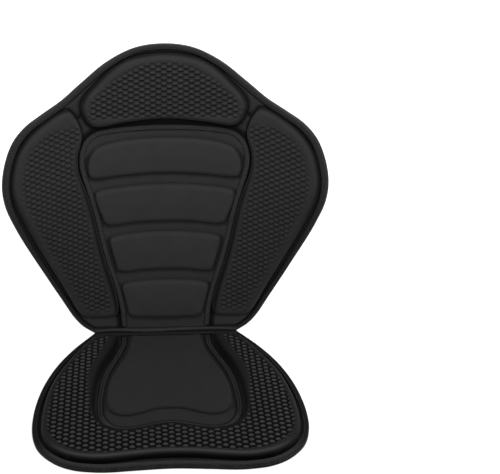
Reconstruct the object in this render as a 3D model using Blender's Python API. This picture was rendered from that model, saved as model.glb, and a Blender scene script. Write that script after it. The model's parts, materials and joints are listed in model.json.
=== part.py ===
"""Padded kayak seat: a moulded cushion and a winged backrest on a sewn fabric hinge.

Each layer is drawn flat, as a half pattern in millimetres at the nominal size, scaled to the
driving dimensions, given its thickness, and laid in place: the cushion flat on the ground, the
backrest bent forward at its wings and leaned back from the hinge line.
Frame: metres, +Z up, the seated person looks along -Y, origin under the middle of the cushion.
"""
import math

import bmesh
import bpy
from mathutils import Vector

COLLECTION = "kayak_seat"

# Overall sizes
BACK_WIDTH = 0.500
BACK_HEIGHT = 0.458
SEAT_WIDTH = 0.394
SEAT_DEPTH = 0.311
WING_REACH = 0.082
BACK_LEAN = math.radians(11.0)

# Layers, from the outside or the ground inwards
COVER_THICKNESS = 0.0012
BACK_BOARD_THICKNESS = 0.0020
SEAT_BOARD_THICKNESS = 0.0025
BACK_FLANGE_THICKNESS = 0.0035
SEAT_FLANGE_THICKNESS = 0.0025
BOLSTER_HEIGHT = 0.0120
LUMBAR_HEIGHT = 0.0070
PILLOW_HEIGHT = 0.0055
BOARD_MARGIN = 0.0060
RIM_MARGIN = 0.0130

# Sewn tapes and webbing
TAPE_THICKNESS = 0.0009
BINDING_WIDTH = 0.0080
SEAM_TAPE_WIDTH = 0.0075
HINGE_FLAP = 0.0085
HINGE_SIDE_MARGIN = 0.0060
WEBBING_WIDTH = 0.0200
WEBBING_THICKNESS = 0.0016
WEBBING_LENGTH = 0.330
WEBBING_UPPER_V = 0.290
WEBBING_LOWER_V = 0.130
LOOP_PLACE = 0.120
LOOP_HALF_SPAN = 0.0200
LOOP_HEIGHT = 0.0130

# Clearances
LAYER_GAP = 0.00045
SIDE_GAP = 0.0003
HINGE_GAP = 0.0010

# The patterns below are drawn for these sizes, in millimetres
PATTERN_BACK_HALF_WIDTH = 249.0
PATTERN_BACK_HEIGHT = 458.0
PATTERN_SEAT_HALF_WIDTH = 197.0
PATTERN_SEAT_DEPTH = 312.0

# Half patterns of the backrest: across from the middle, up from the hinge
BACK_EDGE = [(114, 0), (129.5, 11.5), (143, 28.5), (161, 62.5), (201, 140.5), (229.5, 198),
             (245, 237), (248.5, 267), (242, 300.5), (227.5, 330), (206.5, 350), (181, 364.5),
             (150.5, 381.5), (120.5, 404.5), (82, 433.5), (42, 452.5), (0, 458)]
BACK_SEAM = [(65, 10.5), (67, 40.5), (75, 81), (86.5, 121), (96, 161.5), (104, 201.5),
             (114.5, 242), (121, 264), (124.5, 282), (123, 301.5), (115.5, 317.5), (100, 328),
             (75, 331.5), (0, 334)]
HEAD_PAD = [(0, 347.5), (60, 343), (97.5, 338.5), (109.5, 342), (119.5, 355), (123, 371),
            (115.5, 387.5), (100.5, 402.5), (82, 419.5), (62, 433), (40, 440.5), (0, 445)]
SIDE_BOLSTER = [(147.5, 368.5), (164.5, 363), (179, 355), (199, 343), (213.5, 330.5),
                (225.5, 314.5), (234, 294), (238.5, 268), (235.5, 246), (217, 203),
                (180, 128.5), (160, 89), (146.5, 60.5), (137.5, 42.5), (127.5, 32.5),
                (110.5, 29.5), (86.5, 29.5), (76, 32.5), (73.5, 42), (80.5, 84.5), (91, 120.5),
                (100.5, 161), (108.5, 201), (119.5, 241.5), (127.5, 263.5), (131, 282),
                (130.5, 299), (126, 314.5), (123.5, 328.5), (126.5, 342.5), (133.5, 357),
                (139.5, 365.5)]
LUMBAR_PADS = [
    [(0, 263), (60, 261), (106, 259), (112.5, 261.5), (116.5, 274), (114, 291.5), (104, 304.5),
     (85, 312), (50, 316.5), (0, 318)],
    [(0, 186), (40, 185.5), (84, 183), (91.5, 186.5), (97, 198.5), (103, 214.5), (106.5, 229),
     (105, 237), (95, 240.5), (60, 243.5), (0, 245.5)],
    [(0, 107), (30, 106.5), (66, 104.5), (73, 107.5), (77.5, 121), (82, 138.5), (85.5, 153.5),
     (84, 161.5), (74, 165), (40, 168.5), (0, 169.5)],
    [(0, 24.5), (25, 25), (49, 26.5), (56, 30.5), (60.5, 44.5), (64, 60.5), (67.5, 75),
     (66, 82), (58, 85.5), (35, 88), (0, 89)],
]

# Half patterns of the cushion: across from the middle, forward from the hinge
SEAT_EDGE = [(114, 0), (143.5, 39.5), (166, 78.5), (182, 119), (192, 159.5), (197, 205),
             (195, 240.5), (185, 268), (162, 293), (137, 306), (110, 311), (88, 312),
             (50, 309.5), (0, 307)]
SEAT_SEAM = [(66, 10.5), (66.5, 29), (72.5, 51), (80.5, 72), (88.5, 93), (94.5, 114),
             (98.5, 136), (101, 165), (101.5, 186), (99.5, 202.5), (94.5, 215.5), (86.5, 225.5),
             (75.5, 231.5), (60, 233), (42, 230), (20, 224), (0, 220.5)]
SEAT_BOLSTER_OUTER = [(107, 10.5), (114, 18), (127.5, 37), (151.5, 79), (170.5, 123),
                      (181, 171), (184.5, 219), (182, 245), (174, 266), (161.5, 280),
                      (146, 290), (129, 296), (112.5, 299), (96.5, 299.5), (78, 298),
                      (58, 295.5), (30, 292), (0, 291)]
SEAT_BOLSTER_INNER = [(0, 225), (20, 228.5), (42, 234.5), (60.5, 237.5), (76.5, 236),
                      (90, 229), (98.5, 218.5), (104, 203.5), (106, 184.5), (105.5, 163.5),
                      (103.5, 134.5), (93.5, 91.5), (77.5, 49.5), (72, 27.5), (71.5, 10.5)]
PILLOW = [(54.5, 10.5), (55.5, 19), (57.5, 38), (63.5, 61), (71.5, 80), (80.5, 101),
          (86.5, 122), (90.5, 142.5), (92, 163.5), (90.5, 179.5), (85.5, 192), (75.5, 200),
          (60, 202), (40, 196.5), (20, 188.5), (0, 186.5)]

# Net of triangles in which the backrest layers are bent, and how the bend grows from the hinge
BEND_STEP_U = 0.032
BEND_STEP_V = 0.055
BEND_RISE = 0.55
BEND_POWER = 1.7
CURVE_STEP = 0.022

# Heights of the layers, and the hinge line that they meet at
SEAT_RIM_Z = TAPE_THICKNESS + LAYER_GAP
SEAT_BOARD_Z = SEAT_RIM_Z + COVER_THICKNESS + LAYER_GAP
SEAT_FLANGE_Z = SEAT_BOARD_Z + SEAT_BOARD_THICKNESS + LAYER_GAP
SEAT_TOP_Z = SEAT_FLANGE_Z + SEAT_FLANGE_THICKNESS
BACK_BOARD_W = COVER_THICKNESS + LAYER_GAP
BACK_FLANGE_W = BACK_BOARD_W + BACK_BOARD_THICKNESS + LAYER_GAP
BACK_TOP_W = BACK_FLANGE_W + BACK_FLANGE_THICKNESS
HINGE_W = BACK_TOP_W + LAYER_GAP + TAPE_THICKNESS
HINGE = Vector((0.0, SEAT_DEPTH / 2, SEAT_TOP_Z + LAYER_GAP + TAPE_THICKNESS))

# Wall of a raised pad: (inset from its foot, share of its height), above an upright foot
PAD_WALL = [(0.0, 0.0), (0.0025, 0.72), (0.0075, 1.0)]
PAD_FOOT = 0.0004
FLAT_ANGLE = 0.001
LEVEL = 0.99999


def clear_scene():
    """Start from an empty scene with one collection for the parts."""
    for old in list(bpy.data.objects):
        bpy.data.objects.remove(old)
    collection = bpy.data.collections.new(COLLECTION)
    bpy.context.scene.collection.children.link(collection)
    return collection


def material(name, colour, roughness):
    """A plain shader in the colour of the cloth, foam or plastic."""
    shade = bpy.data.materials.new(name)
    shade.use_nodes = True
    shader = shade.node_tree.nodes["Principled BSDF"]
    shader.inputs["Base Color"].default_value = (*colour, 1.0)
    shader.inputs["Roughness"].default_value = roughness
    shader.inputs["Metallic"].default_value = 0.0
    shade.diffuse_color = (*colour, 1.0)
    return shade


def back_pattern(points):
    """Half pattern of the backrest, scaled from millimetres to the driving sizes."""
    across = BACK_WIDTH / 2 / PATTERN_BACK_HALF_WIDTH
    up = (BACK_HEIGHT - HINGE_GAP) / PATTERN_BACK_HEIGHT
    return [(u * across, HINGE_GAP + v * up) for u, v in points]


def seat_pattern(points):
    """Half pattern of the cushion, scaled from millimetres to the driving sizes."""
    across = SEAT_WIDTH / 2 / PATTERN_SEAT_HALF_WIDTH
    forward = (SEAT_DEPTH - HINGE_GAP) / PATTERN_SEAT_DEPTH
    return [(x * across, HINGE_GAP + y * forward) for x, y in points]


def smooth(points, closed=False, step=CURVE_STEP):
    """Centripetal curve through the points, sampled about every step."""
    chain = [Vector(p) for p in points]
    count = len(chain)
    spans = count if closed else count - 1
    result = []
    for i in range(spans):
        b = chain[i]
        c = chain[(i + 1) % count]
        a = chain[i - 1] if closed or i > 0 else 2 * b - c
        d = chain[(i + 2) % count] if closed or i + 2 < count else 2 * c - b
        result += curve_span(a, b, c, d, step)
    if not closed:
        result.append(tuple(chain[-1]))
    return result


def curve_span(a, b, c, d, step):
    """Samples of the curve from b up to, but not at, c."""
    t1 = math.sqrt((b - a).length)
    t2 = t1 + math.sqrt((c - b).length)
    t3 = t2 + math.sqrt((d - c).length)
    pieces = max(1, round((c - b).length / step))
    samples = []
    for n in range(pieces):
        t = t1 + (t2 - t1) * n / pieces
        p1 = a * (t1 - t) / t1 + b * t / t1
        p2 = b * (t2 - t) / (t2 - t1) + c * (t - t1) / (t2 - t1)
        p3 = c * (t3 - t) / (t3 - t2) + d * (t - t2) / (t3 - t2)
        q1 = p1 * (t2 - t) / t2 + p2 * t / t2
        q2 = p2 * (t3 - t) / (t3 - t1) + p3 * (t - t1) / (t3 - t1)
        samples.append(tuple(q1 * (t2 - t) / (t2 - t1) + q2 * (t - t1) / (t2 - t1)))
    return samples


def mirrored(half):
    """Whole chain from a half one that ends on the middle line."""
    return half + [(-x, y) for x, y in reversed(half[:-1])]


def edge_outline(half):
    """Closed outline, smooth all round but for the straight edge at the hinge."""
    return smooth(mirrored(half))


def pad_outline(half):
    """Closed smooth outline of a pad that crosses the middle line at both ends."""
    other = [(-x, y) for x, y in reversed(half[1:-1])]
    return smooth(half + other, closed=True)


def area(outline):
    """Signed area, positive where the outline runs anticlockwise."""
    total = 0.0
    for (x1, y1), (x2, y2) in zip(outline, outline[1:] + outline[:1]):
        total += (x1 * y2 - x2 * y1) / 2
    return total


def inset(outline, distance):
    """The outline moved inwards by the distance, mitred at its corners."""
    turn = 1.0 if area(outline) > 0 else -1.0
    count = len(outline)
    result = []
    for i in range(count):
        here = Vector(outline[i])
        before = (here - Vector(outline[i - 1])).normalized()
        after = (Vector(outline[(i + 1) % count]) - here).normalized()
        normal = Vector((-before.y - after.y, before.x + after.x)) * turn / 2
        result.append(tuple(here + normal * distance / max(normal.length_squared, 0.3)))
    return result


def ribbon(path, width):
    """Closed outline of a flat strip that runs along the path."""
    left = []
    right = []
    for i, point in enumerate(path):
        here = Vector(point)
        ahead = Vector(path[min(i + 1, len(path) - 1)])
        behind = Vector(path[max(i - 1, 0)])
        along = (ahead - behind).normalized()
        across = Vector((-along.y, along.x)) * width / 2
        left.append(tuple(here + across))
        right.append(tuple(here - across))
    return left + right[::-1]


def slab(outline, low, high):
    """Flat sheet with the outline, between two heights."""
    curve = bpy.data.curves.new("outline", "CURVE")
    curve.dimensions = "2D"
    curve.fill_mode = "BOTH"
    curve.extrude = (high - low) / 2
    spline = curve.splines.new("POLY")
    spline.points.add(len(outline) - 1)
    for point, (x, y) in zip(spline.points, outline):
        point.co = (x, y, 0.0, 1.0)
    spline.use_cyclic_u = True
    holder = bpy.data.objects.new("outline", curve)
    bpy.context.scene.collection.objects.link(holder)
    graph = bpy.context.evaluated_depsgraph_get()
    mesh = bpy.data.meshes.new_from_object(holder.evaluated_get(graph))
    bpy.data.objects.remove(holder)
    solid = bmesh.new()
    solid.from_mesh(mesh)
    bpy.data.meshes.remove(mesh)
    bmesh.ops.remove_doubles(solid, verts=solid.verts, dist=1e-6)
    bmesh.ops.translate(solid, verts=solid.verts, vec=(0.0, 0.0, (low + high) / 2))
    merge_flat_faces(solid)
    return solid


def merge_flat_faces(solid):
    """Join the level faces of a flat layer, so that each level is one face."""
    bmesh.ops.recalc_face_normals(solid, faces=solid.faces)
    level = [e for e in solid.edges if all(abs(f.normal.z) > LEVEL for f in e.link_faces)]
    bmesh.ops.dissolve_limit(solid, angle_limit=FLAT_ANGLE, verts=[], edges=level)


def face_out(solid):
    """Turn the faces of a closed solid outwards."""
    bmesh.ops.recalc_face_normals(solid, faces=solid.faces)
    if solid.calc_volume(signed=True) < 0:
        bmesh.ops.reverse_faces(solid, faces=solid.faces)


def raised_pad(outline, base, foot, height):
    """Pad that rises from its foot in a rounded wall to a flat crown."""
    solid = slab(outline, base, foot + PAD_FOOT)
    top = [f for f in solid.faces if f.normal.z > 0.9]
    for (s0, h0), (s1, h1) in zip(PAD_WALL, PAD_WALL[1:]):
        bmesh.ops.inset_region(solid, faces=top, thickness=s1 - s0, use_even_offset=True)
        lifted = {v for f in top for v in f.verts}
        rise = (h1 - h0) * (height - PAD_FOOT)
        bmesh.ops.translate(solid, verts=list(lifted), vec=(0.0, 0.0, rise))
    return solid


def swept_ring(outline, section):
    """Solid with the section, (inset, height) points, carried once round the outline."""
    solid = bmesh.new()
    rings = []
    for distance, height in section:
        rings.append([solid.verts.new((x, y, height)) for x, y in inset(outline, distance)])
    count = len(outline)
    for ring, following in zip(rings, rings[1:] + rings[:1]):
        for i in range(count):
            j = (i + 1) % count
            solid.faces.new((ring[i], ring[j], following[j], following[i]))
    bmesh.ops.recalc_face_normals(solid, faces=solid.faces)
    return solid


def binding_section(low, high):
    """Section of a tape folded round an edge whose layers lie between two heights."""
    inner = TAPE_THICKNESS
    bottom = low - LAYER_GAP
    top = high + LAYER_GAP
    return [(0.0, bottom - TAPE_THICKNESS), (BINDING_WIDTH, bottom - TAPE_THICKNESS),
            (BINDING_WIDTH, bottom), (inner, bottom), (inner, top), (BINDING_WIDTH, top),
            (BINDING_WIDTH, top + TAPE_THICKNESS), (0.0, top + TAPE_THICKNESS)]


def united(solids, collection):
    """One solid from several that run into each other."""
    target = as_object("base", solids[0], collection)
    for other in solids[1:]:
        tool = as_object("tool", other, collection)
        union = target.modifiers.new("union", "BOOLEAN")
        union.operation = "UNION"
        union.solver = "EXACT"
        union.object = tool
        graph = bpy.context.evaluated_depsgraph_get()
        joined = bpy.data.meshes.new_from_object(target.evaluated_get(graph))
        target.modifiers.clear()
        target.data = joined
        bpy.data.objects.remove(tool)
    result = bmesh.new()
    result.from_mesh(target.data)
    bpy.data.objects.remove(target)
    bmesh.ops.remove_doubles(result, verts=result.verts, dist=1e-6)
    merge_flat_faces(result)
    return result


def as_object(name, solid, collection):
    """Mesh object from a solid, which is freed."""
    mesh = bpy.data.meshes.new(name)
    solid.to_mesh(mesh)
    solid.free()
    item = bpy.data.objects.new(name, mesh)
    collection.objects.link(item)
    return item


def cut(solid, side, place, direction):
    """Cut the faces on one side of the middle, or all where side is 0, along a plane."""
    faces = [f for f in solid.faces if side * f.calc_center_median().x >= 0]
    near = {e for f in faces for e in f.edges} | {v for f in faces for v in f.verts}
    bmesh.ops.bisect_plane(solid, geom=faces + list(near), dist=1e-6, plane_co=place,
                           plane_no=direction)


def bend_lines(solid):
    """Cut a flat layer along the net of triangles in which the backrest bends."""
    us = [abs(v.co.x) / BEND_STEP_U for v in solid.verts]
    vs = [v.co.y / BEND_STEP_V for v in solid.verts]
    columns = math.floor(max(us))
    low = math.ceil(min(vs))
    high = math.floor(max(vs))
    for n in range(-columns, columns + 1):
        cut(solid, 0, (n * BEND_STEP_U, 0.0, 0.0), (1.0, 0.0, 0.0))
    for n in range(low, high + 1):
        cut(solid, 0, (0.0, n * BEND_STEP_V, 0.0), (0.0, 1.0, 0.0))
    for side in (1.0, -1.0):
        for n in range(-high - 1, columns + 1 - low):
            cut(solid, side, (side * n * BEND_STEP_U, 0.0, 0.0),
                (BEND_STEP_V, -side * BEND_STEP_U, 0.0))


def bent(u, v, w):
    """World place of a node of the net: u across, v up, w forward from the rear."""
    rise = min(max(v / (BACK_HEIGHT * BEND_RISE), 0.0), 1.0)
    share = 1.0 - (1.0 - rise) ** BEND_POWER
    bend = share * WING_REACH / (BACK_WIDTH / 2) ** 2
    slope = 2 * bend * u
    stretch = math.sqrt(1.0 + slope * slope)
    x = u * (1.0 - slope * slope / 6) - (w - HINGE_W) * slope / stretch
    forward = bend * u * u + (w - HINGE_W) / stretch
    y = v * math.sin(BACK_LEAN) - forward * math.cos(BACK_LEAN)
    z = v * math.cos(BACK_LEAN) + forward * math.sin(BACK_LEAN)
    return Vector((x, y, z)) + HINGE


def on_back(u, v, w):
    """World place of any point of the backrest, between the nodes of the net."""
    side = -1.0 if u < 0 else 1.0
    column = math.floor(abs(u) / BEND_STEP_U)
    row = math.floor(v / BEND_STEP_V)
    across = abs(u) / BEND_STEP_U - column
    up = v / BEND_STEP_V - row
    near = (column + 1, row) if across >= up else (column, row + 1)
    shares = ((column, row, 1.0 - max(across, up)), (*near, abs(across - up)),
              (column + 1, row + 1, min(across, up)))
    place = Vector((0.0, 0.0, 0.0))
    for i, j, share in shares:
        place += bent(side * i * BEND_STEP_U, j * BEND_STEP_V, w) * share
    return place


def on_seat(x, depth, z):
    """World place of a point of the cushion: depth forward from the hinge."""
    return Vector((x, HINGE.y - depth, z))


def finish(name, solid, place, shade, collection, pivot=None):
    """Lay a flat solid in place and keep it as a named part."""
    bmesh.ops.triangulate(solid, faces=solid.faces)
    for vertex in solid.verts:
        vertex.co = place(*vertex.co)
    if pivot:
        bmesh.ops.translate(solid, verts=solid.verts, vec=-pivot.location)
    face_out(solid)
    item = as_object(name, solid, collection)
    item.data.materials.append(shade)
    item.data.shade_smooth()
    item.data.set_sharp_from_angle(angle=math.radians(35))
    if pivot:
        item.parent = pivot
    return item


def frame_outline(edge, seam):
    """Outline of an outer panel: the whole edge, open to the hinge inside the seam."""
    inner = [(x, y) for x, y in reversed(smooth(mirrored(seam)))]
    first = (inner[0][0], edge[-1][1])
    last = (inner[-1][0], edge[0][1])
    return edge + [first] + inner + [last]


def middle_outline(seam, hinge_side):
    """Outline of a centre panel, which fills the inside of the seam down to the hinge."""
    chain = smooth(mirrored(seam))
    return [(chain[0][0], hinge_side)] + chain + [(chain[-1][0], hinge_side)]


def moved_seam(seam, distance):
    """Half seam line moved outwards, away from the middle panel."""
    whole = inset(mirrored(seam), -distance)
    return [(x, y) for x, y in whole[:len(seam) - 1]] + [(0.0, whole[len(seam) - 1][1])]


def build_seat(collection, shades):
    """The layers of the cushion, from the ground up."""
    edge = edge_outline(seat_pattern(SEAT_EDGE))
    layers = inset(edge, TAPE_THICKNESS + SIDE_GAP)
    seam = seat_pattern(SEAT_SEAM)
    hinge_side = layers[0][1]

    rim = slab(layers, SEAT_RIM_Z, SEAT_RIM_Z + COVER_THICKNESS)
    ground = slab(inset(layers, RIM_MARGIN), 0.0, SEAT_RIM_Z + COVER_THICKNESS / 2)
    finish("seat_bottom_cover", united([rim, ground], collection), on_seat, shades["grip"],
           collection)
    board = slab(inset(layers, BOARD_MARGIN), SEAT_BOARD_Z, SEAT_BOARD_Z + SEAT_BOARD_THICKNESS)
    finish("seat_foam_board", board, on_seat, shades["foam"], collection)

    outer = slab(frame_outline(layers, moved_seam(seam, SIDE_GAP)), SEAT_FLANGE_Z, SEAT_TOP_Z)
    bolster_half = seat_pattern(SEAT_BOLSTER_OUTER)
    bolster_inner = seat_pattern(SEAT_BOLSTER_INNER)
    bolster = smooth(mirrored(bolster_half)) + smooth(mirrored(bolster_inner[::-1]))[::-1]
    middle_z = (SEAT_FLANGE_Z + SEAT_TOP_Z) / 2
    pad = raised_pad(bolster, middle_z, SEAT_TOP_Z, BOLSTER_HEIGHT)
    finish("seat_outer_panel", united([outer, pad], collection), on_seat, shades["laminate"],
           collection)

    centre = slab(middle_outline(moved_seam(seam, -SIDE_GAP), hinge_side), SEAT_FLANGE_Z,
                  SEAT_TOP_Z)
    pillow = raised_pad(smooth(mirrored(seat_pattern(PILLOW))), middle_z, SEAT_TOP_Z,
                        PILLOW_HEIGHT)
    finish("seat_centre_panel", united([centre, pillow], collection), on_seat,
           shades["laminate"], collection)

    tape_z = SEAT_TOP_Z + LAYER_GAP
    tape = slab(ribbon(smooth(mirrored(seam)), SEAM_TAPE_WIDTH), tape_z, tape_z + TAPE_THICKNESS)
    finish("seat_centre_tape", tape, on_seat, shades["tape"], collection)
    binding = swept_ring(edge, binding_section(SEAT_RIM_Z, SEAT_TOP_Z))
    finish("seat_edge_binding", binding, on_seat, shades["tape"], collection)


def build_back(collection, shades, pivot):
    """The layers of the backrest, from the rear to the front."""
    edge = edge_outline(back_pattern(BACK_EDGE))
    layers = inset(edge, TAPE_THICKNESS + SIDE_GAP)
    seam = back_pattern(BACK_SEAM)
    hinge_side = layers[0][1]

    def keep(name, solid, shade):
        bend_lines(solid)
        finish(name, solid, on_back, shades[shade], collection, pivot)

    keep("back_rear_cover", slab(layers, 0.0, COVER_THICKNESS), "grip")
    board = slab(inset(layers, BOARD_MARGIN), BACK_BOARD_W, BACK_BOARD_W + BACK_BOARD_THICKNESS)
    keep("back_stiffener_board", board, "board")

    middle_w = (BACK_FLANGE_W + BACK_TOP_W) / 2
    right = smooth(back_pattern(SIDE_BOLSTER), closed=True)
    left = [(-u, v) for u, v in right]
    outer = [slab(frame_outline(layers, moved_seam(seam, SIDE_GAP)), BACK_FLANGE_W, BACK_TOP_W)]
    for outline in (pad_outline(back_pattern(HEAD_PAD)), right, left):
        outer.append(raised_pad(outline, middle_w, BACK_TOP_W, BOLSTER_HEIGHT))
    keep("back_outer_panel", united(outer, collection), "laminate")

    inner = [slab(middle_outline(moved_seam(seam, -SIDE_GAP), hinge_side), BACK_FLANGE_W,
                  BACK_TOP_W)]
    for half in LUMBAR_PADS:
        outline = pad_outline(back_pattern(half))
        inner.append(raised_pad(outline, middle_w, BACK_TOP_W, LUMBAR_HEIGHT))
    keep("back_centre_panel", united(inner, collection), "laminate")

    tape_w = BACK_TOP_W + LAYER_GAP
    tape = slab(ribbon(smooth(mirrored(seam)), SEAM_TAPE_WIDTH), tape_w, tape_w + TAPE_THICKNESS)
    keep("back_centre_tape", tape, "tape")
    keep("back_edge_binding", swept_ring(edge, binding_section(0.0, BACK_TOP_W)), "tape")
    keep("rear_webbing_upper", webbing(WEBBING_UPPER_V), "webbing")
    keep("rear_webbing_lower", webbing(WEBBING_LOWER_V), "webbing")


def webbing_lift(u):
    """How far the webbing stands off the rear cover, which makes its two strap loops."""
    reach = abs(abs(u) - LOOP_PLACE) / LOOP_HALF_SPAN
    if reach >= 1.0:
        return 0.0
    return LOOP_HEIGHT * (0.5 + 0.5 * math.cos(math.pi * reach ** 1.6))


def webbing(middle_v):
    """Band across the rear, in the flat: u, v and a height below the rear cover."""
    places = {-WEBBING_LENGTH / 2, WEBBING_LENGTH / 2, 0.0}
    for n in range(-10, 11):
        places.add(LOOP_PLACE + n * LOOP_HALF_SPAN / 10)
        places.add(-LOOP_PLACE + n * LOOP_HALF_SPAN / 10)
    us = sorted(places)
    near = [(u, -LAYER_GAP - webbing_lift(u)) for u in us]
    far = [(u, w - WEBBING_THICKNESS) for u, w in near]
    band = slab(far + near[::-1], middle_v - WEBBING_WIDTH / 2, middle_v + WEBBING_WIDTH / 2)
    for vertex in band.verts:
        vertex.co = (vertex.co.x, vertex.co.z, vertex.co.y)
    bmesh.ops.recalc_face_normals(band, faces=band.faces)
    return band


def hinge_point(u, side, height):
    """Point of the hinge tape: side is the seat flap, the corner or the back flap."""
    if side == "seat":
        return on_seat(u, HINGE_FLAP, HINGE.z + height)
    corner_v = height * (1.0 - math.sin(BACK_LEAN)) / math.cos(BACK_LEAN)
    v = HINGE_FLAP if side == "back" else corner_v
    return on_back(u, v, HINGE_W + height)


def build_hinge(collection, shades):
    """Tape in the corner between the cushion and the backrest."""
    half = min(back_pattern(BACK_EDGE)[0][0], seat_pattern(SEAT_EDGE)[0][0]) - HINGE_SIDE_MARGIN
    steps = 2 * math.ceil(half / BEND_STEP_U)
    low = LAYER_GAP
    high = LAYER_GAP + TAPE_THICKNESS
    section = [("seat", low), ("corner", low), ("back", low), ("back", high), ("corner", high),
               ("seat", high)]
    solid = bmesh.new()
    rings = []
    for n in range(steps + 1):
        u = half * (2 * n / steps - 1)
        rings.append([solid.verts.new(hinge_point(u, side, h)) for side, h in section])
    for ring, following in zip(rings, rings[1:]):
        for i in range(len(section)):
            j = (i + 1) % len(section)
            solid.faces.new((ring[i], ring[j], following[j], following[i]))
    solid.faces.new(rings[0])
    solid.faces.new(rings[-1])
    finish("hinge_tape", solid, lambda x, y, z: Vector((x, y, z)), shades["tape"], collection)


def main():
    collection = clear_scene()
    shades = {
        "laminate": material("laminate_black", (0.024, 0.024, 0.026), 0.62),
        "tape": material("tape_black", (0.030, 0.030, 0.032), 0.70),
        "grip": material("grip_fabric_black", (0.018, 0.018, 0.019), 0.80),
        "foam": material("foam_grey", (0.060, 0.060, 0.062), 0.90),
        "board": material("board_grey", (0.100, 0.100, 0.100), 0.50),
        "webbing": material("webbing_black", (0.020, 0.020, 0.021), 0.75),
    }
    pivot = bpy.data.objects.new("back_pivot", None)
    pivot.location = HINGE
    collection.objects.link(pivot)
    build_seat(collection, shades)
    build_back(collection, shades, pivot)
    build_hinge(collection, shades)


main()
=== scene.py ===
"""Looks of the padded kayak seat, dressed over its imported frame.

Every piece is drawn flat, in millimetres on its pattern sheet: u across and v up from the hinge on
the backrest, x across and depth forward from the hinge on the cushion. Its relief is a height over
that sheet, and the whole is then laid in place as the solids are: the cushion flat on the ground,
the backrest bent forward at its wings and leaned back.
"""
import json
import math

import bmesh
import bpy
import numpy as np
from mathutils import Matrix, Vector
from mathutils.geometry import delaunay_2d_cdt


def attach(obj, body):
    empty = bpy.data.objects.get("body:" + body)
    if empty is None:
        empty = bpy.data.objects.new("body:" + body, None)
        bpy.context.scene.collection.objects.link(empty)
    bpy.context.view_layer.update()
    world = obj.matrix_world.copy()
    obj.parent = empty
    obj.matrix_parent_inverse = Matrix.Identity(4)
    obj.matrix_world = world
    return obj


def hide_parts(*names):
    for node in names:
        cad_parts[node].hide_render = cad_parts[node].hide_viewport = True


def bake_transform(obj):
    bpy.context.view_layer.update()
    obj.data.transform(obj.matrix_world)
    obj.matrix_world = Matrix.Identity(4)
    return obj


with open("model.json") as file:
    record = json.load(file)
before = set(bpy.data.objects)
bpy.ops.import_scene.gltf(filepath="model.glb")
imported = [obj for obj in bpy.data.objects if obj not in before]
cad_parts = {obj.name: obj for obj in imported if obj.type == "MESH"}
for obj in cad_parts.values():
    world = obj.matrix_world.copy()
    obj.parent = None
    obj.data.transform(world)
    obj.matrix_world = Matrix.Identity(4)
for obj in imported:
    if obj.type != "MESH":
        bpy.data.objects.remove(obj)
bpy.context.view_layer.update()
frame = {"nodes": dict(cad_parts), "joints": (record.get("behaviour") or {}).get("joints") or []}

MM = 0.001
HINGE = np.array(frame["joints"][0]["pos_m"])

# Overall sizes of the patterns, and how the backrest bends
BACK_WIDTH = 500.0
BACK_HEIGHT = 458.0
SEAT_WIDTH = 394.0
SEAT_DEPTH = 311.0
WING_REACH = 82.0
BACK_LEAN = math.radians(11.0)
BEND_RISE = 0.55
BEND_POWER = 1.7

# Thickness of the layers, from the outside or the ground inwards
LAYER_GAP = 0.45
TAPE = 0.9
COVER = 1.2
BACK_BOARD = 2.0
SEAT_BOARD = 2.5
BACK_FLANGE = 3.5
SEAT_FLANGE = 2.5
BOLSTER_HEIGHT = 12.0
LUMBAR_HEIGHT = 7.0
PILLOW_HEIGHT = 5.5
RIM_MARGIN = 13.0

# Tapes and webbing
BINDING_WIDTH = 8.0
SEAM_TAPE_WIDTH = 7.5
HINGE_FLAP = 8.5
HINGE_SIDE_MARGIN = 1.0
HINGE_GAP = 1.0
WEBBING_WIDTH = 20.0
WEBBING_THICKNESS = 1.6
WEBBING_LENGTH = 330.0
WEBBING_PLACES = {"rear_webbing_upper": 290.0, "rear_webbing_lower": 130.0}
LOOP_PLACE = 120.0
LOOP_HALF_SPAN = 20.0
LOOP_HEIGHT = 13.0
SIDE_GAP = 0.3
BINDING_PUFF = 1.0
HINGE_ROLL = 1.9
DOT_PITCH = 9.0

# Levels of the layers
SEAT_RIM_Z = TAPE + LAYER_GAP
SEAT_FLANGE_Z = SEAT_RIM_Z + COVER + SEAT_BOARD + 2 * LAYER_GAP
SEAT_TOP_Z = SEAT_FLANGE_Z + SEAT_FLANGE
BACK_FLANGE_W = COVER + BACK_BOARD + 2 * LAYER_GAP
BACK_TOP_W = BACK_FLANGE_W + BACK_FLANGE
HINGE_W = BACK_TOP_W + LAYER_GAP + TAPE

# The patterns are drawn for these sizes
PATTERN_BACK_HALF_WIDTH = 249.0
PATTERN_BACK_HEIGHT = 458.0
PATTERN_SEAT_HALF_WIDTH = 197.0
PATTERN_SEAT_DEPTH = 312.0

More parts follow.
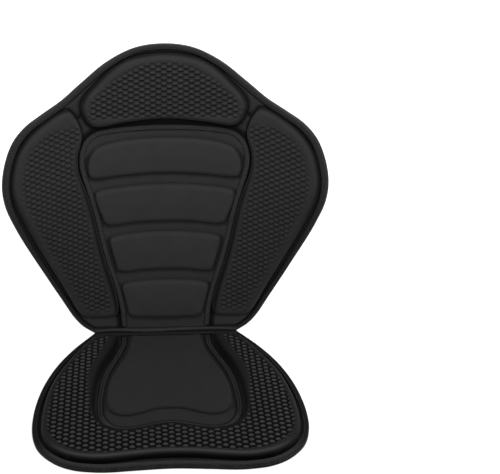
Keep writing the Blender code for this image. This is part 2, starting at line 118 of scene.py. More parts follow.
# Half patterns of the backrest: across from the middle, up from the hinge
BACK_EDGE = [(114, 0), (129.5, 11.5), (143, 28.5), (161, 62.5), (201, 140.5), (229.5, 198),
             (245, 237), (248.5, 267), (242, 300.5), (227.5, 330), (206.5, 350), (181, 364.5),
             (150.5, 381.5), (120.5, 404.5), (82, 433.5), (42, 452.5), (0, 458)]
BACK_SEAM = [(65, 10.5), (67, 40.5), (75, 81), (86.5, 121), (96, 161.5), (104, 201.5),
             (114.5, 242), (121, 264), (124.5, 282), (123, 301.5), (115.5, 317.5), (100, 328),
             (75, 331.5), (0, 334)]
HEAD_PAD = [(0, 347.5), (60, 343), (97.5, 338.5), (109.5, 342), (119.5, 355), (123, 371),
            (115.5, 387.5), (100.5, 402.5), (82, 419.5), (62, 433), (40, 440.5), (0, 445)]
SIDE_BOLSTER = [(147.5, 368.5), (164.5, 363), (179, 355), (199, 343), (213.5, 330.5),
                (225.5, 314.5), (234, 294), (238.5, 268), (235.5, 246), (217, 203),
                (180, 128.5), (160, 89), (146.5, 60.5), (137.5, 42.5), (127.5, 32.5),
                (110.5, 29.5), (86.5, 29.5), (76, 32.5), (73.5, 42), (80.5, 84.5), (91, 120.5),
                (100.5, 161), (108.5, 201), (119.5, 241.5), (127.5, 263.5), (131, 282),
                (130.5, 299), (126, 314.5), (123.5, 328.5), (126.5, 342.5), (133.5, 357),
                (139.5, 365.5)]
LUMBAR_PADS = [
    [(0, 263), (60, 261), (106, 259), (112.5, 261.5), (116.5, 274), (114, 291.5), (104, 304.5),
     (85, 312), (50, 316.5), (0, 318)],
    [(0, 186), (40, 185.5), (84, 183), (91.5, 186.5), (97, 198.5), (103, 214.5), (106.5, 229),
     (105, 237), (95, 240.5), (60, 243.5), (0, 245.5)],
    [(0, 107), (30, 106.5), (66, 104.5), (73, 107.5), (77.5, 121), (82, 138.5), (85.5, 153.5),
     (84, 161.5), (74, 165), (40, 168.5), (0, 169.5)],
    [(0, 24.5), (25, 25), (49, 26.5), (56, 30.5), (60.5, 44.5), (64, 60.5), (67.5, 75),
     (66, 82), (58, 85.5), (35, 88), (0, 89)],
]

# Half patterns of the cushion: across from the middle, forward from the hinge
SEAT_EDGE = [(114, 0), (143.5, 39.5), (166, 78.5), (182, 119), (192, 159.5), (197, 205),
             (195, 240.5), (185, 268), (162, 293), (137, 306), (110, 311), (88, 312),
             (50, 309.5), (0, 307)]
SEAT_SEAM = [(66, 10.5), (66.5, 29), (72.5, 51), (80.5, 72), (88.5, 93), (94.5, 114),
             (98.5, 136), (101, 165), (101.5, 186), (99.5, 202.5), (94.5, 215.5), (86.5, 225.5),
             (75.5, 231.5), (60, 233), (42, 230), (20, 224), (0, 220.5)]
SEAT_BOLSTER_OUTER = [(107, 10.5), (114, 18), (127.5, 37), (151.5, 79), (170.5, 123),
                      (181, 171), (184.5, 219), (182, 245), (174, 266), (161.5, 280),
                      (146, 290), (129, 296), (112.5, 299), (96.5, 299.5), (78, 298),
                      (58, 295.5), (30, 292), (0, 291)]
SEAT_BOLSTER_INNER = [(0, 225), (20, 228.5), (42, 234.5), (60.5, 237.5), (76.5, 236),
                      (90, 229), (98.5, 218.5), (104, 203.5), (106, 184.5), (105.5, 163.5),
                      (103.5, 134.5), (93.5, 91.5), (77.5, 49.5), (72, 27.5), (71.5, 10.5)]
PILLOW = [(54.5, 10.5), (55.5, 19), (57.5, 38), (63.5, 61), (71.5, 80), (80.5, 101),
          (86.5, 122), (90.5, 142.5), (92, 163.5), (90.5, 179.5), (85.5, 192), (75.5, 200),
          (60, 202), (40, 196.5), (20, 188.5), (0, 186.5)]

# Fineness of the meshes: insets of the rings of points inside a pad's outline and the binding's,
# and the least distance between two points
CURVE_STEP = 2.0
FILL_PITCH = 3.0
UNDER_PITCH = 14.0
REAR_PITCH = 4.0
BOTTOM_PITCH = 5.0
RING_INSETS = (-4.4, -3.0, -2.0, -1.2, -0.5, 0.0, 0.12, 0.5, 1.1, 1.9, 2.9, 4.2, 5.8, 7.6, 9.8)
GROOVE_INSETS = (5.0, 6.3, 7.4, 8.5, 9.8)
LEAST_APART = 0.12
PAD_REACH = 12.0
WELD = 0.001
SHARP = math.radians(55.0)

# A stitch, from end to end: (place along it, share of its thickness)
STITCH_RINGS = ((-0.5, 0.25), (-0.38, 0.8), (0.0, 1.0), (0.38, 0.8), (0.5, 0.25))
STITCH_SIDES = 6

# Rows of stitches: length of a stitch, spacing, radius; zigzags: half width, pitch, radius
BINDING_STITCH = (2.6, 3.6, 0.28)
TAPE_STITCH = (2.8, 3.6, 0.42)
REAR_STITCH = (2.4, 3.4, 0.3)
TAPE_ZIGZAG = (SEAM_TAPE_WIDTH / 2 - 1.3, 2.3, 0.5)
BAR_TACK = (0.9, 0.8, 0.25)
BINDING_ROW = BINDING_WIDTH - 1.6
BINDING_STITCH_RISE = 0.08
BINDING_STITCH_SUNK = 0.30
TAPE_ROW = 2.3
REAR_ROW = 2.2

# Bar tacks on the right half of the webbing: places, the rows of each, and how far they stay
# inside its edges; and the number of columns of mesh along the webbing
TACK_PLACES = [LOOP_PLACE - LOOP_HALF_SPAN - 3.0, LOOP_PLACE + LOOP_HALF_SPAN + 3.0,
               WEBBING_LENGTH / 2 - 5.0, 40.0]
TACK_ROWS = (-1.6, 0.0, 1.6)
TACK_MARGIN = 2.0
WEBBING_COLUMNS = 260

# Covers: least distance of inner mesh points from the edge, height of the cloth between the
# dots off the ground, where it rises to the sewing rim, and how far dots stay from the rim
COVER_MARGIN = 2.0
GROUND_GAP = 0.35
BOTTOM_RAMP = (-3.0, 1.5)
RIM_INSETS = (RIM_MARGIN - 1.0, RIM_MARGIN, RIM_MARGIN + 1.0)
DOT_MARGIN = 4.0

# A grip dot, from the cloth down: (radius, height off the ground)
DOT_RINGS = ((1.7, 0.4), (1.5, 0.12), (0.8, 0.0))
DOT_SIDES = 8

# Moulded hexagons: distance between columns and between rows, and height; the cushion's rows
# are SEAT_ROW apart at the hinge and spread by SEAT_ROW_GROWTH for each millimetre forward
BACK_HEXAGON = (8.3, 8.2)
BACK_SQUAT = 1.3
BACK_EMBOSS = 1.9
SEAT_COLUMN = 9.2
SEAT_ROW = 8.2
SEAT_ROW_GROWTH = 0.004
SEAT_SQUAT = 1.4
SEAT_EMBOSS = 3.0

# A hexagon's flat crown and its foot, as shares of the way from its centre to its edge, and the
# mesh's rings of points: (share, points on each of six sides); HEXAGONS_FROM is the least share of
# their full height at which the hexagons get these points
CROWN = 0.50
FOOT = 0.93
HEXAGON_RINGS = ((0.3, 1), (CROWN, 2), (0.65, 2), (0.79, 2), (FOOT, 2), (1.0, 1))
HEXAGONS_FROM = 0.03

# Backrest's hexagons are scales: mean height and slope along the column, and where along it their
# furrows get painted shade; the cushion's have crowns that get a painted highlight and are rounded a
# little
SCALE_HEIGHT = 0.8
SCALE_SLOPE = 0.2
UPPER_FURROW = (0.3, 0.6)
LOWER_FURROW = (0.25, 0.5)
BACK_FURROW_FOOT = FOOT - 0.1
SEAT_CROWN_SHADE = (0.45, 1.0)
SEAT_CROWN_ROUND = 0.06

# Where the pads carry hexagons: each pair is where they start and where they are full
HEAD_FROM = 335.0
HEAD_HALF = 125.0
HEAD_FADES = {"edge": (20.0, 32.0), "foot": (348.0, 357.0), "ends": (106.0, 120.0)}
SIDE_FADES = {"edge": (19.0, 31.0), "seam": (13.0, 21.0), "foot": (36.0, 52.0),
              "top": (334.0, 350.0), "inner": (80.0, 88.0)}
SIDE_STRENGTH = 0.8
SEAT_FADES = {"edge": (18.0, 26.0), "seam": (0.0, 8.0), "wall": (7.0, 11.0)}
SEAT_CLEAR_REAR = 21.0
SEAT_CLEAR_FRONT = 10.0
SEAT_CLEAR_RUN = (110.0, 190.0)

# Walls of the pads: radius, and how much more where they face up the sheet; the crown of a pad
# over its wall, and from where to where it rises
WALL_FULLNESS = 2.4
BACK_BOLSTER_WALL = (8.5, 3.0)
BACK_BOLSTER_CROWN = (0.8, 6.0, 45.0)
LUMBAR_WALL = (3.5, 5.5)
LUMBAR_CROWN = (1.0, 4.0, 28.0)
SEAT_BOLSTER_WALL = 6.5
SEAT_BOLSTER_CROWN = (1.0, 6.0, 30.0)
SEAT_RAMP_REAR = 16.0
SEAT_RAMP_FRONT = 8.0
SEAT_RAMP_RUN = (100.0, 170.0)
SEAM_SIDE_BLEND = 2.0
PILLOW_WALL = (6.0, 5.0)
PILLOW_CROWN = (0.8, 5.0, 45.0)

# How full the padding is, and how far ring points stay inside a panel
MOULDED_FILL = 0.9
PILLOW_FILL = 0.8
RING_CLEAR = 0.6

# Creases pressed in at the feet of the walls: depth, and how far the shade painted beside them reaches
CREASE_WIDTH = 2.4
BOLSTER_CREASE = 2.2
BACK_BOLSTER_SHADE = 4.5
SEAT_BOLSTER_SHADE = 4.0
LUMBAR_CREASE = 1.8
LUMBAR_EASE = 0.6
LUMBAR_SHADE = 2.0
PILLOW_CREASE = 1.0
PILLOW_SHADE = 2.5
CREASE_START = 0.3
WALL_SHADE = (0.35, 0.95)
BINDING_CREASE = 1.8
BINDING_GROOVE = (0.6, 1.6)
BINDING_GROOVE_SHADE = (0.2, 2.6)
BINDING_PUCKER = (0.07, 6.8)
SEAM_DIP = (0.45, 2.2)

# Unevenness of hand-laid foam and cloth: height, length of its waves, seed
WAVE_COUNT = 5
WAVE_STRETCH = (0.7, 1.4)
BACK_OUTER_WAVES = (0.35, 90.0, 5)
BACK_CENTRE_WAVES = (0.25, 70.0, 9)
SEAT_OUTER_WAVES = (0.35, 80.0, 3)
SEAT_CENTRE_WAVES = (0.25, 75.0, 7)
REAR_WAVES = (0.125, 60.0, 4)
ROLL_WAVES = (0.35, 23.0, 2)
ROLL_DRIFT = (1.6, 120.0, 6)
BACK_TOPS = (10.0, 18.0)
SEAT_TOPS = (12.0, 18.0)
BACK_CENTRE_WAVES_END = (100.0, 30.0)
PILLOW_WAVES_RUN = (0.0, 20.0)

# Painted light and shade: the cloth's colour against its plain colour, painted darker as shade in
# creases, furrows and grooves and over areas lit less, and painted lighter as highlights on crowns,
# rims, the hinge's roll and areas lit more
CREASE_TONE = 0.10
BACK_OUTER_TONE = 0.86
BACK_SEAM_TONE = 0.10
BACK_INNER_TONE = 0.35
BACK_CROWN_TONE = 1.18
BACK_SIDE_TONE = 0.75
BACK_UPPER_TONE = 0.65
BACK_FURROW_TONE = 0.02
BACK_TAPE_TONE = 1.35
SEAT_SEAM_TONE = 0.07
SEAT_FURROW_TONE = 0.02
SEAT_CROWN_TONE = 2.2
SEAT_SIDE_TONE = 0.50
SEAT_RIM_TONE = 1.6
SEAT_TAPE_TONE = 0.40
SEAT_FRONT_TONE = 0.65
SEAT_FRONT_GAP_TONE = 0.35
SEAT_BINDING_TONE = 0.175
BINDING_INNER_TONE = 0.35
TAPE_EDGE_TONE = 0.40
EDGE_TONE = 0.75
ROLL_TONE = 1.25
HINGE_TONE = 0.45

# Places where painted shade and painted highlights fade out or in: distances from the seam, or along
# the sheet
BACK_SEAM_SHADE = (8.0, 15.0)
BACK_FOOT_SHADE = (20.0, 31.0)
BACK_FOOT_TONE = 1.6
BACK_INNER_SHADE = (3.6, 5.2)
SEAT_SEAM_SHADE = (8.5, 18.0)
SEAT_INNER_SHADE = (4.2, 9.0)
SEAT_FRONT = (255.0, 292.0)
SEAT_TAPE_FRONT = (195.0, 222.0)
SEAT_LOBES = (60.0, 100.0)
SEAT_RIM = (3.4, 1.7)
SEAT_FRONT_GAP = 6.0
SEAT_GAP_SHADE = (-0.5, 1.5)
LUMBAR_UPPER_LIGHT = (0.7, 0.3, 0.9)
PILLOW_LIGHT = 0.7
BINDING_FRONT = (0.82, 0.95)
BINDING_INNER_SHADE = (0.0, 3.5)
BINDING_EDGE_SHADE = (0.2, 1.6)
TAPE_EDGE_SHADE = (0.0, 1.6)

# Weave: share of fuzz over the threads, patches and flecks, and how dark the gaps of the threads are
# painted, as shade
FUZZ = 0.25
FUZZ_PER_THREAD = 1.7
PATCHES = 0.12
PATCHES_PER_MM = 0.035
FLECKS_PER_MM = 0.5
THREAD_SHADE = (0.82, 1.12)
ROUGH_PER_MM = 0.12
ROUGH_SPREAD = (0.06, 0.08)

# Grain of foam and plastic: depth, and its darkest and lightest shade
GRAIN_DEPTH = 0.1
GRAIN_SHADE = (0.85, 1.15)

# Camera at the photo's viewing angle, and its frame
PHOTO_WIDTH = 500.0
SENSOR = 36.0
VIEW_ELEVATION = math.radians(31.0)
VIEW_AZIMUTH = math.radians(-1.96)
VIEW_DISTANCE = 1.6
VIEW_TARGET = (0.0, 0.052, 0.2476)
VIEW_FOCAL_PIXELS = 1140.4
OBJECT_MIDDLE_PIXEL = 167.9

# Lamps: place, target, size and power; the world's daylight; the floor's size and glow
LAMPS = {
    "key_light": ((0.0, -0.1, 1.3), (0.0, 0.08, 0.1), 0.6, 7.5),
    "front_light": ((0.3, -2.2, 1.7), (0.0, 0.0, 0.2), 1.0, 33.0),
    "left_light": ((-1.3, 0.1, 0.9), (0.0, 0.1, 0.2), 0.6, 3.5),
    "right_light": ((1.3, 0.1, 0.9), (0.0, 0.1, 0.2), 0.6, 5.4),
    "rear_light": ((0.3, 2.2, 1.5), (0.0, 0.2, 0.2), 1.0, 42.0),
}
AMBIENT = 0.15
FLOOR_HALF = 6.0
FLOOR_GREY = 0.35
FLOOR_GLOW = {"From Min": 0.35, "From Max": 1.1, "To Min": 0.78, "To Max": 1.0}


# Patterns and curves

def back_pattern(points):
    """Half pattern of the backrest, scaled to the driving sizes."""
    across = BACK_WIDTH / 2 / PATTERN_BACK_HALF_WIDTH
    up = (BACK_HEIGHT - HINGE_GAP) / PATTERN_BACK_HEIGHT
    return np.array(points, float) * (across, up) + (0.0, HINGE_GAP)


def seat_pattern(points):
    """Half pattern of the cushion, scaled to the driving sizes."""
    across = SEAT_WIDTH / 2 / PATTERN_SEAT_HALF_WIDTH
    forward = (SEAT_DEPTH - HINGE_GAP) / PATTERN_SEAT_DEPTH
    return np.array(points, float) * (across, forward) + (0.0, HINGE_GAP)


def mirrored(half):
    """Whole chain from a half one that ends on the middle line."""
    return np.vstack([half, half[-2::-1] * (-1.0, 1.0)])


def smooth(points, closed=False):
    """Centripetal curve through the points, sampled about every CURVE_STEP."""
    count = len(points)
    chain = [np.array(p, float) for p in points]
    result = []
    for i in range(count if closed else count - 1):
        b = chain[i]
        c = chain[(i + 1) % count]
        a = chain[i - 1] if closed or i > 0 else 2 * b - c
        d = chain[(i + 2) % count] if closed or i + 2 < count else 2 * c - b
        t1 = math.sqrt(np.linalg.norm(b - a))
        t2 = t1 + math.sqrt(np.linalg.norm(c - b))
        t3 = t2 + math.sqrt(np.linalg.norm(d - c))
        pieces = max(1, round(np.linalg.norm(c - b) / CURVE_STEP))
        t = (t1 + (t2 - t1) * np.arange(pieces) / pieces)[:, None]
        p1 = a * (t1 - t) / t1 + b * t / t1
        p2 = b * (t2 - t) / (t2 - t1) + c * (t - t1) / (t2 - t1)
        p3 = c * (t3 - t) / (t3 - t2) + d * (t - t2) / (t3 - t2)
        q1 = p1 * (t2 - t) / t2 + p2 * t / t2
        q2 = p2 * (t3 - t) / (t3 - t1) + p3 * (t - t1) / (t3 - t1)
        result.append(q1 * (t2 - t) / (t2 - t1) + q2 * (t - t1) / (t2 - t1))
    if not closed:
        result.append(chain[-1][None])
    return np.vstack(result)


def pad_outline(half):
    """Closed smooth outline of a pad that crosses the middle line at both ends."""
    return smooth(np.vstack([half, half[-2:0:-1] * (-1.0, 1.0)]), closed=True)


def inward(outline, closed=True):
    """Mitred normals of a curve that turns anticlockwise, towards its left."""
    before = outline - np.roll(outline, 1, axis=0)
    after = np.roll(outline, -1, axis=0) - outline
    if not closed:
        before[0] = after[0]
        after[-1] = before[-1]
    before /= np.linalg.norm(before, axis=1)[:, None]
    after /= np.linalg.norm(after, axis=1)[:, None]
    normal = np.stack([-before[:, 1] - after[:, 1], before[:, 0] + after[:, 0]], axis=1) / 2
    return normal / np.maximum((normal ** 2).sum(axis=1), 0.3)[:, None]


def anticlockwise(outline):
    """The outline, turned round where it runs clockwise."""
    following = np.roll(outline, -1, axis=0)
    area = (outline[:, 0] * following[:, 1] - following[:, 0] * outline[:, 1]).sum()
    return outline if area > 0 else outline[::-1]


def nearest(points, outline):
    """Distance of each point inside a closed outline, negative outside, and the side it faces.

    The side is 0 where the nearest edge runs up and down the sheet and 1 where it runs across,
    with the sign of the way out of the outline.
    """
    best = np.full(len(points), np.inf)
    facing = np.zeros(len(points))
    inside = np.zeros(len(points), bool)
    px, py = points.T
    for a, b in zip(outline, np.roll(outline, -1, axis=0)):
        edge = b - a
        length2 = edge @ edge
        if length2 < 1e-12:
            continue
        along = np.clip(((px - a[0]) * edge[0] + (py - a[1]) * edge[1]) / length2, 0.0, 1.0)
        dx = px - a[0] - along * edge[0]
        dy = py - a[1] - along * edge[1]
        apart = dx * dx + dy * dy
        closer = apart < best
        best[closer] = apart[closer]
        facing[closer] = -edge[0] / math.sqrt(length2)
        if a[1] != b[1]:
            between = (a[1] > py) != (b[1] > py)
            inside ^= between & (px < a[0] + (py - a[1]) * edge[0] / edge[1])
    best = np.sqrt(best)
    return np.where(inside, best, -best), facing


def near_pad(points, outline):
    """nearest(), worked out only around the outline's own box."""
    low = outline.min(axis=0) - PAD_REACH
    high = outline.max(axis=0) + PAD_REACH
    close = ((points > low) & (points < high)).all(axis=1)
    depth = np.full(len(points), -np.inf)
    facing = np.zeros(len(points))
    depth[close], facing[close] = nearest(points[close], outline)
    return depth, facing


def distance_to(points, chain):
    """Plain distance of each point from an open chain."""
    best = np.full(len(points), np.inf)
    for a, b in zip(chain[:-1], chain[1:]):
        edge = b - a
        along = np.clip(((points - a) @ edge) / (edge @ edge), 0.0, 1.0)
        best = np.minimum(best, ((points - a - along[:, None] * edge) ** 2).sum(axis=1))
    return np.sqrt(best)


def step_up(value, low, high):
    """Smooth rise from 0 at low to 1 at high."""
    share = np.clip((value - low) / (high - low), 0.0, 1.0)
    return share * share * (3 - 2 * share)


def ramp(value, run, start, end=1.0):
    """Smooth change from one value to another over a run of the first."""
    return start + (end - start) * step_up(value, *run)


def lattice(low, high, pitch):
    """Points in even triangles over a box."""
    rise = pitch * math.sqrt(3) / 2
    rows = np.arange(math.floor(low[1] / rise), math.ceil(high[1] / rise) + 1)
    columns = np.arange(math.floor(low[0] / pitch) - 1, math.ceil(high[0] / pitch) + 1)
    x, row = np.meshgrid(columns * pitch, rows)
    x = x + (row % 2) * pitch / 2
    return np.stack([x.ravel(), (row * rise).ravel()], axis=1)


# Places in the model, from pattern coordinates in millimetres

def on_back(u, v, w):
    """World place on the backrest: u across, v up, w forward from the rear."""
    rise = np.clip(v / (BACK_HEIGHT * BEND_RISE), 0.0, 1.0)
    bend = (1.0 - (1.0 - rise) ** BEND_POWER) * WING_REACH / (BACK_WIDTH / 2) ** 2
    slope = 2 * bend * u
    stretch = np.sqrt(1.0 + slope * slope)
    x = u * (1.0 - slope * slope / 6) - (w - HINGE_W) * slope / stretch
    forward = bend * u * u + (w - HINGE_W) / stretch
    y = v * math.sin(BACK_LEAN) - forward * math.cos(BACK_LEAN)
    z = v * math.cos(BACK_LEAN) + forward * math.sin(BACK_LEAN)
    return np.stack(np.broadcast_arrays(x, y, z), axis=-1) * MM + HINGE


def on_seat(x, depth, z):
    """World place on the cushion: depth forward from the hinge, z up from the ground."""
    return np.stack(np.broadcast_arrays(x, HINGE[1] / MM - depth, z), axis=-1) * MM


# Meshes

class Shape:
    """Vertices, faces, pattern coordinates and materials gathered for one object."""

    def __init__(self):
        self.verts = []
        self.sheet = []
        self.painted_lights = []
        self.faces = []
        self.slots = []
        self.count = 0

    def add(self, verts, faces, sheet, slot=0, tone=1.0):
        """Add one patch, with its pattern coordinates in millimetres and the light and shade painted on
        it.
        """
        self.verts.append(np.asarray(verts).reshape(-1, 3))
        self.sheet.append(np.asarray(sheet).reshape(-1, 2))
        self.painted_lights.append(np.broadcast_to(tone, len(self.verts[-1])))
        self.faces += [[i + self.count for i in face] for face in faces]
        self.slots += [slot] * len(faces)
        self.count += len(self.verts[-1])

    def build(self, name, materials):
        """The object, smooth but for its sharp edges."""
        mesh = bpy.data.meshes.new(name)
        mesh.from_pydata(np.vstack(self.verts).tolist(), [], self.faces)
        corners = np.zeros(len(mesh.loops), int)
        mesh.loops.foreach_get("vertex_index", corners)
        layer = mesh.uv_layers.new(name="pattern")
        layer.data.foreach_set("uv", np.vstack(self.sheet)[corners].ravel())
        # Light and shade painted on each point, which the cloth multiplies into its colour
        painted_lights = mesh.attributes.new("tone", "FLOAT", "POINT")
        painted_lights.data.foreach_set("value", np.concatenate(self.painted_lights))
        for item in materials:
            mesh.materials.append(item)
        mesh.polygons.foreach_set("material_index", self.slots)
        joined = bmesh.new()
        joined.from_mesh(mesh)
        bmesh.ops.remove_doubles(joined, verts=joined.verts, dist=WELD * MM)
        bmesh.ops.recalc_face_normals(joined, faces=joined.faces)
        joined.to_mesh(mesh)
        joined.free()
        mesh.shade_smooth()
        mesh.set_sharp_from_angle(angle=SHARP)
        piece = bpy.data.objects.new(name, mesh)
        bpy.context.scene.collection.objects.link(piece)
        return piece


def triangles(outline, inner):
    """Triangles over the points inside a closed outline."""
    points = np.vstack([outline, inner])
    coords = [Vector(p) for p in points]
    found = delaunay_2d_cdt(coords, [], [list(range(len(outline)))], 1, 1e-5, True)
    kept = [source[0] for source in found[3]]
    faces = np.array([[kept[i] for i in face] for face in found[2]])
    inside = nearest(points[faces].mean(axis=1), outline)[0] > 0.0
    return points, faces[inside].tolist()


def tube_faces(rows, count, closed=False):
    """Faces over rows of points, each row a section of count points; open ends get caps."""
    faces = []
    for i in range(rows if closed else rows - 1):
        here = i * count
        following = (i + 1) % rows * count
        for j in range(count):
            k = (j + 1) % count
            faces.append([here + j, following + j, following + k, here + k])
    if not closed:
        faces.append(list(range(count)))
        faces.append([(rows - 1) * count + j for j in reversed(range(count))])
    return faces


def add_side(shape, faces, points, height, place, tone=1.0):
    """One side of a sheet: faces over its points, at their heights."""
    shape.add(place(points[:, 0], points[:, 1], height), faces, points, tone=tone)


def add_rim(shape, outline, upper, lower, place, tone=1.0):
    """Upright rim that joins the two sides of a sheet along its outline."""
    count = len(outline)
    rim = [[i, i + count, (i + 1) % count + count, (i + 1) % count] for i in range(count)]
    ends = [place(outline[:, 0], outline[:, 1], height) for height in (upper, lower)]
    shape.add(np.vstack(ends), rim, np.vstack([outline, outline]), tone=tone)


def relief(shape, outline, inner, surface, low, place):
    """Closed sheet: a modelled top, an upright rim and a plain underside.

    surface gives the height of points on the pattern and the light and shade painted on them.
    """
    outline = anticlockwise(outline)
    count = len(outline)
    top, faces = triangles(outline, inner)
    height, tone = surface(top)
    add_side(shape, faces, top, height, place, tone)
    under_inner = lattice(outline.min(axis=0), outline.max(axis=0), UNDER_PITCH)
    under_inner = under_inner[nearest(under_inner, outline)[0] > UNDER_PITCH / 3]
    under, faces = triangles(outline, under_inner)
    add_side(shape, [face[::-1] for face in faces], under, low, place)
    add_rim(shape, outline, height[:count], low, place, np.tile(tone[:count], 2))


def thin_sheet(shape, outline, inner, height, level, place):
    """Closed cloth sheet: height gives its outer side, and its inner side is at one level."""
    sheet, faces = triangles(outline, inner)
    add_side(shape, faces, sheet, height(sheet), place)
    add_side(shape, [face[::-1] for face in faces], sheet, level, place)
    add_rim(shape, outline, height(outline), level, place)


def swept(shape, path, section, place, closed=True, slot=0, lift=0.0, tone=1.0):
    """Solid with a section of (inset, height) points carried along the path.

    lift and the painted light and shade are one value, or one for each point of the section, or those
    along the path.
    """
    section = np.array(section, float)
    size = (len(path), len(section))
    flat = path[:, None, :] + inward(path, closed)[:, None, :] * section[None, :, :1]
    height = np.broadcast_to(section[:, 1] + lift, size)
    shape.add(place(flat[..., 0], flat[..., 1], height), tube_faces(*size, closed), flat, slot,
              np.broadcast_to(tone, size).ravel())


def arc_length(path):
    """Length along the path up to each of its points."""
    steps = np.linalg.norm(np.diff(path, axis=0), axis=1)
    return np.concatenate([[0.0], np.cumsum(steps)])


def evenly(path, spacing):
    """Points at even spacing along an open path, and the directions along and across it."""
    along = arc_length(path)
    count = max(2, round(along[-1] / spacing))
    places = (np.arange(count) + 0.5) * along[-1] / count
    ahead = [np.interp(places + 0.5, along, path[:, k]) for k in (0, 1)]
    behind = [np.interp(places - 0.5, along, path[:, k]) for k in (0, 1)]
    direction = np.stack(ahead, axis=1) - np.stack(behind, axis=1)
    direction /= np.linalg.norm(direction, axis=1)[:, None]
    points = [np.interp(places, along, path[:, k]) for k in (0, 1)]
    across = np.stack([-direction[:, 1], direction[:, 0]], axis=1)
    return np.stack(points, axis=1), direction, across


def stitched(shape, path, stitch, level, place):
    """Row of straight stitches along an open path, lying on a level."""
    length, spacing, radius = stitch
    points, direction, across = evenly(path, spacing)
    rows = []
    for share, thick in STITCH_RINGS:
        for n in range(STITCH_SIDES):
            turn = 2 * math.pi * n / STITCH_SIDES
            side = across * math.cos(turn) * radius * thick
            lift = level + radius * thick * math.sin(turn) - abs(share) * radius
            rows.append(np.column_stack([points + direction * share * length + side,
                                         np.full(len(points), lift)]))
    grid = np.stack(rows, axis=1)
    one = tube_faces(len(STITCH_RINGS), STITCH_SIDES)
    faces = [[i + s * len(rows) for i in face] for s in range(len(points)) for face in one]
    shape.add(place(grid[..., 0], grid[..., 1], grid[..., 2]), faces, grid[..., :2], 1)


def zigzag(shape, path, stitch, level, place):
    """Thread that runs from side to side along an open path."""
    half_width, pitch, radius = stitch
    points, _, across = evenly(path, pitch)
    side = np.where(np.arange(len(points)) % 2 == 0, 1.0, -1.0)[:, None]
    thread = points + across * side * half_width
    section = [(radius * math.cos(t), level + 0.7 * radius * math.sin(t))
               for t in np.linspace(0, 2 * math.pi, STITCH_SIDES, endpoint=False)]
    swept(shape, thread, section, place, closed=False, slot=1)


# Relief of the moulded panels

def pad_form(depth, radius, height, crown, crease, shade):
    """Height of a pad over its panel, and the shade painted on it: a rounded wall inside its outline, a
    middle that rises a little further, and a crease outside; painted shade darkens the foot of the wall
    and the crease out to the distance shade."""
    top, low, high = crown
    share = np.clip(depth / radius, 0.0, 1.0)
    wall = (1.0 - (1.0 - share) ** WALL_FULLNESS) ** (1.0 / WALL_FULLNESS)
    outside = np.exp(-(np.minimum(depth, 0.0) / CREASE_WIDTH) ** 2)
    rise = np.where(depth > 0.0, (height - top + crease) * wall - crease, -crease * outside)
    tone = np.where(depth > 0.0, ramp(wall, WALL_SHADE, CREASE_TONE),
                    ramp(-depth, (CREASE_START, shade), CREASE_TONE))
    return rise + top * step_up(depth, low, high), tone


def binding_groove(points, outline):
    """Depth of the crease along the inner edge of the folded binding, and the shade painted into it."""
    inner = nearest(points, outline)[0] - (BINDING_WIDTH - TAPE - SIDE_GAP)
    middle_line, width = BINDING_GROOVE
    return (-BINDING_CREASE * np.exp(-((inner - middle_line) / width) ** 2),
            ramp(inner, BINDING_GROOVE_SHADE, CREASE_TONE))


def hexagon_centres(low, high, cell):
    """Centres of flat-topped hexagons in a box, with every other column offset."""
    column, row = cell
    i = np.arange(math.floor(low[0] / column), math.ceil(high[0] / column) + 1)
    j = np.arange(math.floor(low[1] / row) - 1, math.ceil(high[1] / row) + 1)
    i, j = np.meshgrid(i, j)
    return np.stack([(i * column).ravel(), ((j + 0.5 * (i % 2)) * row).ravel()], axis=1)


def hexagon_place(points, cell, squat):
    """How far each point is from the centre of its hexagon, 1 at the hexagon's edge, and how far
    along the column, from -1 to 1. A squat above 1 leaves wider furrows between the rows."""
    column, row = cell
    best = np.full(len(points), np.inf)
    along = np.zeros(len(points))
    for shift in (0.0, 1.0):
        dx = (points[:, 0] / column - shift) / 2
        dx = np.abs(dx - np.round(dx)) * 2
        dy = points[:, 1] / row - 0.5 * shift
        dy = (dy - np.round(dy)) * 2
        share = np.maximum(np.abs(dy) * squat, 1.5 * dx + np.abs(dy) / 2)
        closer = share < best
        best[closer] = share[closer]
        along[closer] = dy[closer]
    return best, along


def hexagon_points(low, high, cell, squat):
    """Mesh points that follow the crowns, slopes and edges of the hexagons."""
    column, row = cell
    centres = hexagon_centres(low, high, cell)
    corners = [(column * 2 / 3 * math.cos(math.radians(60 * n)),
                row / math.sqrt(3) * math.sin(math.radians(60 * n))) for n in range(7)]
    found = [centres]
    for share, between in HEXAGON_RINGS:
        for n in range(6):
            for m in range(between):
                k = m / between
                x = (corners[n][0] * (1 - k) + corners[n + 1][0] * k) * share
                y = (corners[n][1] * (1 - k) + corners[n + 1][1] * k) * share
                found.append(centres + (x, y / squat if share < 1.0 else y))
    return np.vstack(found)


def back_emboss(points):
    """Height share of the backrest's hexagons, scales that stand proud at the foot, with a painted
    highlight on their crowns and painted shade in their furrows, darkest at the lower edge of each
    scale.
    """
    share, along = hexagon_place(points, BACK_HEXAGON, BACK_SQUAT)
    rise = 1.0 - step_up(share, CROWN, FOOT)
    furrow = ramp(along, UPPER_FURROW, BACK_SIDE_TONE, BACK_UPPER_TONE)
    furrow = ramp(-along, LOWER_FURROW, furrow, BACK_FURROW_TONE)
    tone = ramp(share, (CROWN, BACK_FURROW_FOOT), BACK_CROWN_TONE, furrow)
    return rise * (SCALE_HEIGHT - SCALE_SLOPE * along), tone


def seat_rows(depth):
    """Number of rows of hexagons between the hinge and a place on the cushion."""
    return np.log1p(SEAT_ROW_GROWTH * depth / SEAT_ROW) / SEAT_ROW_GROWTH


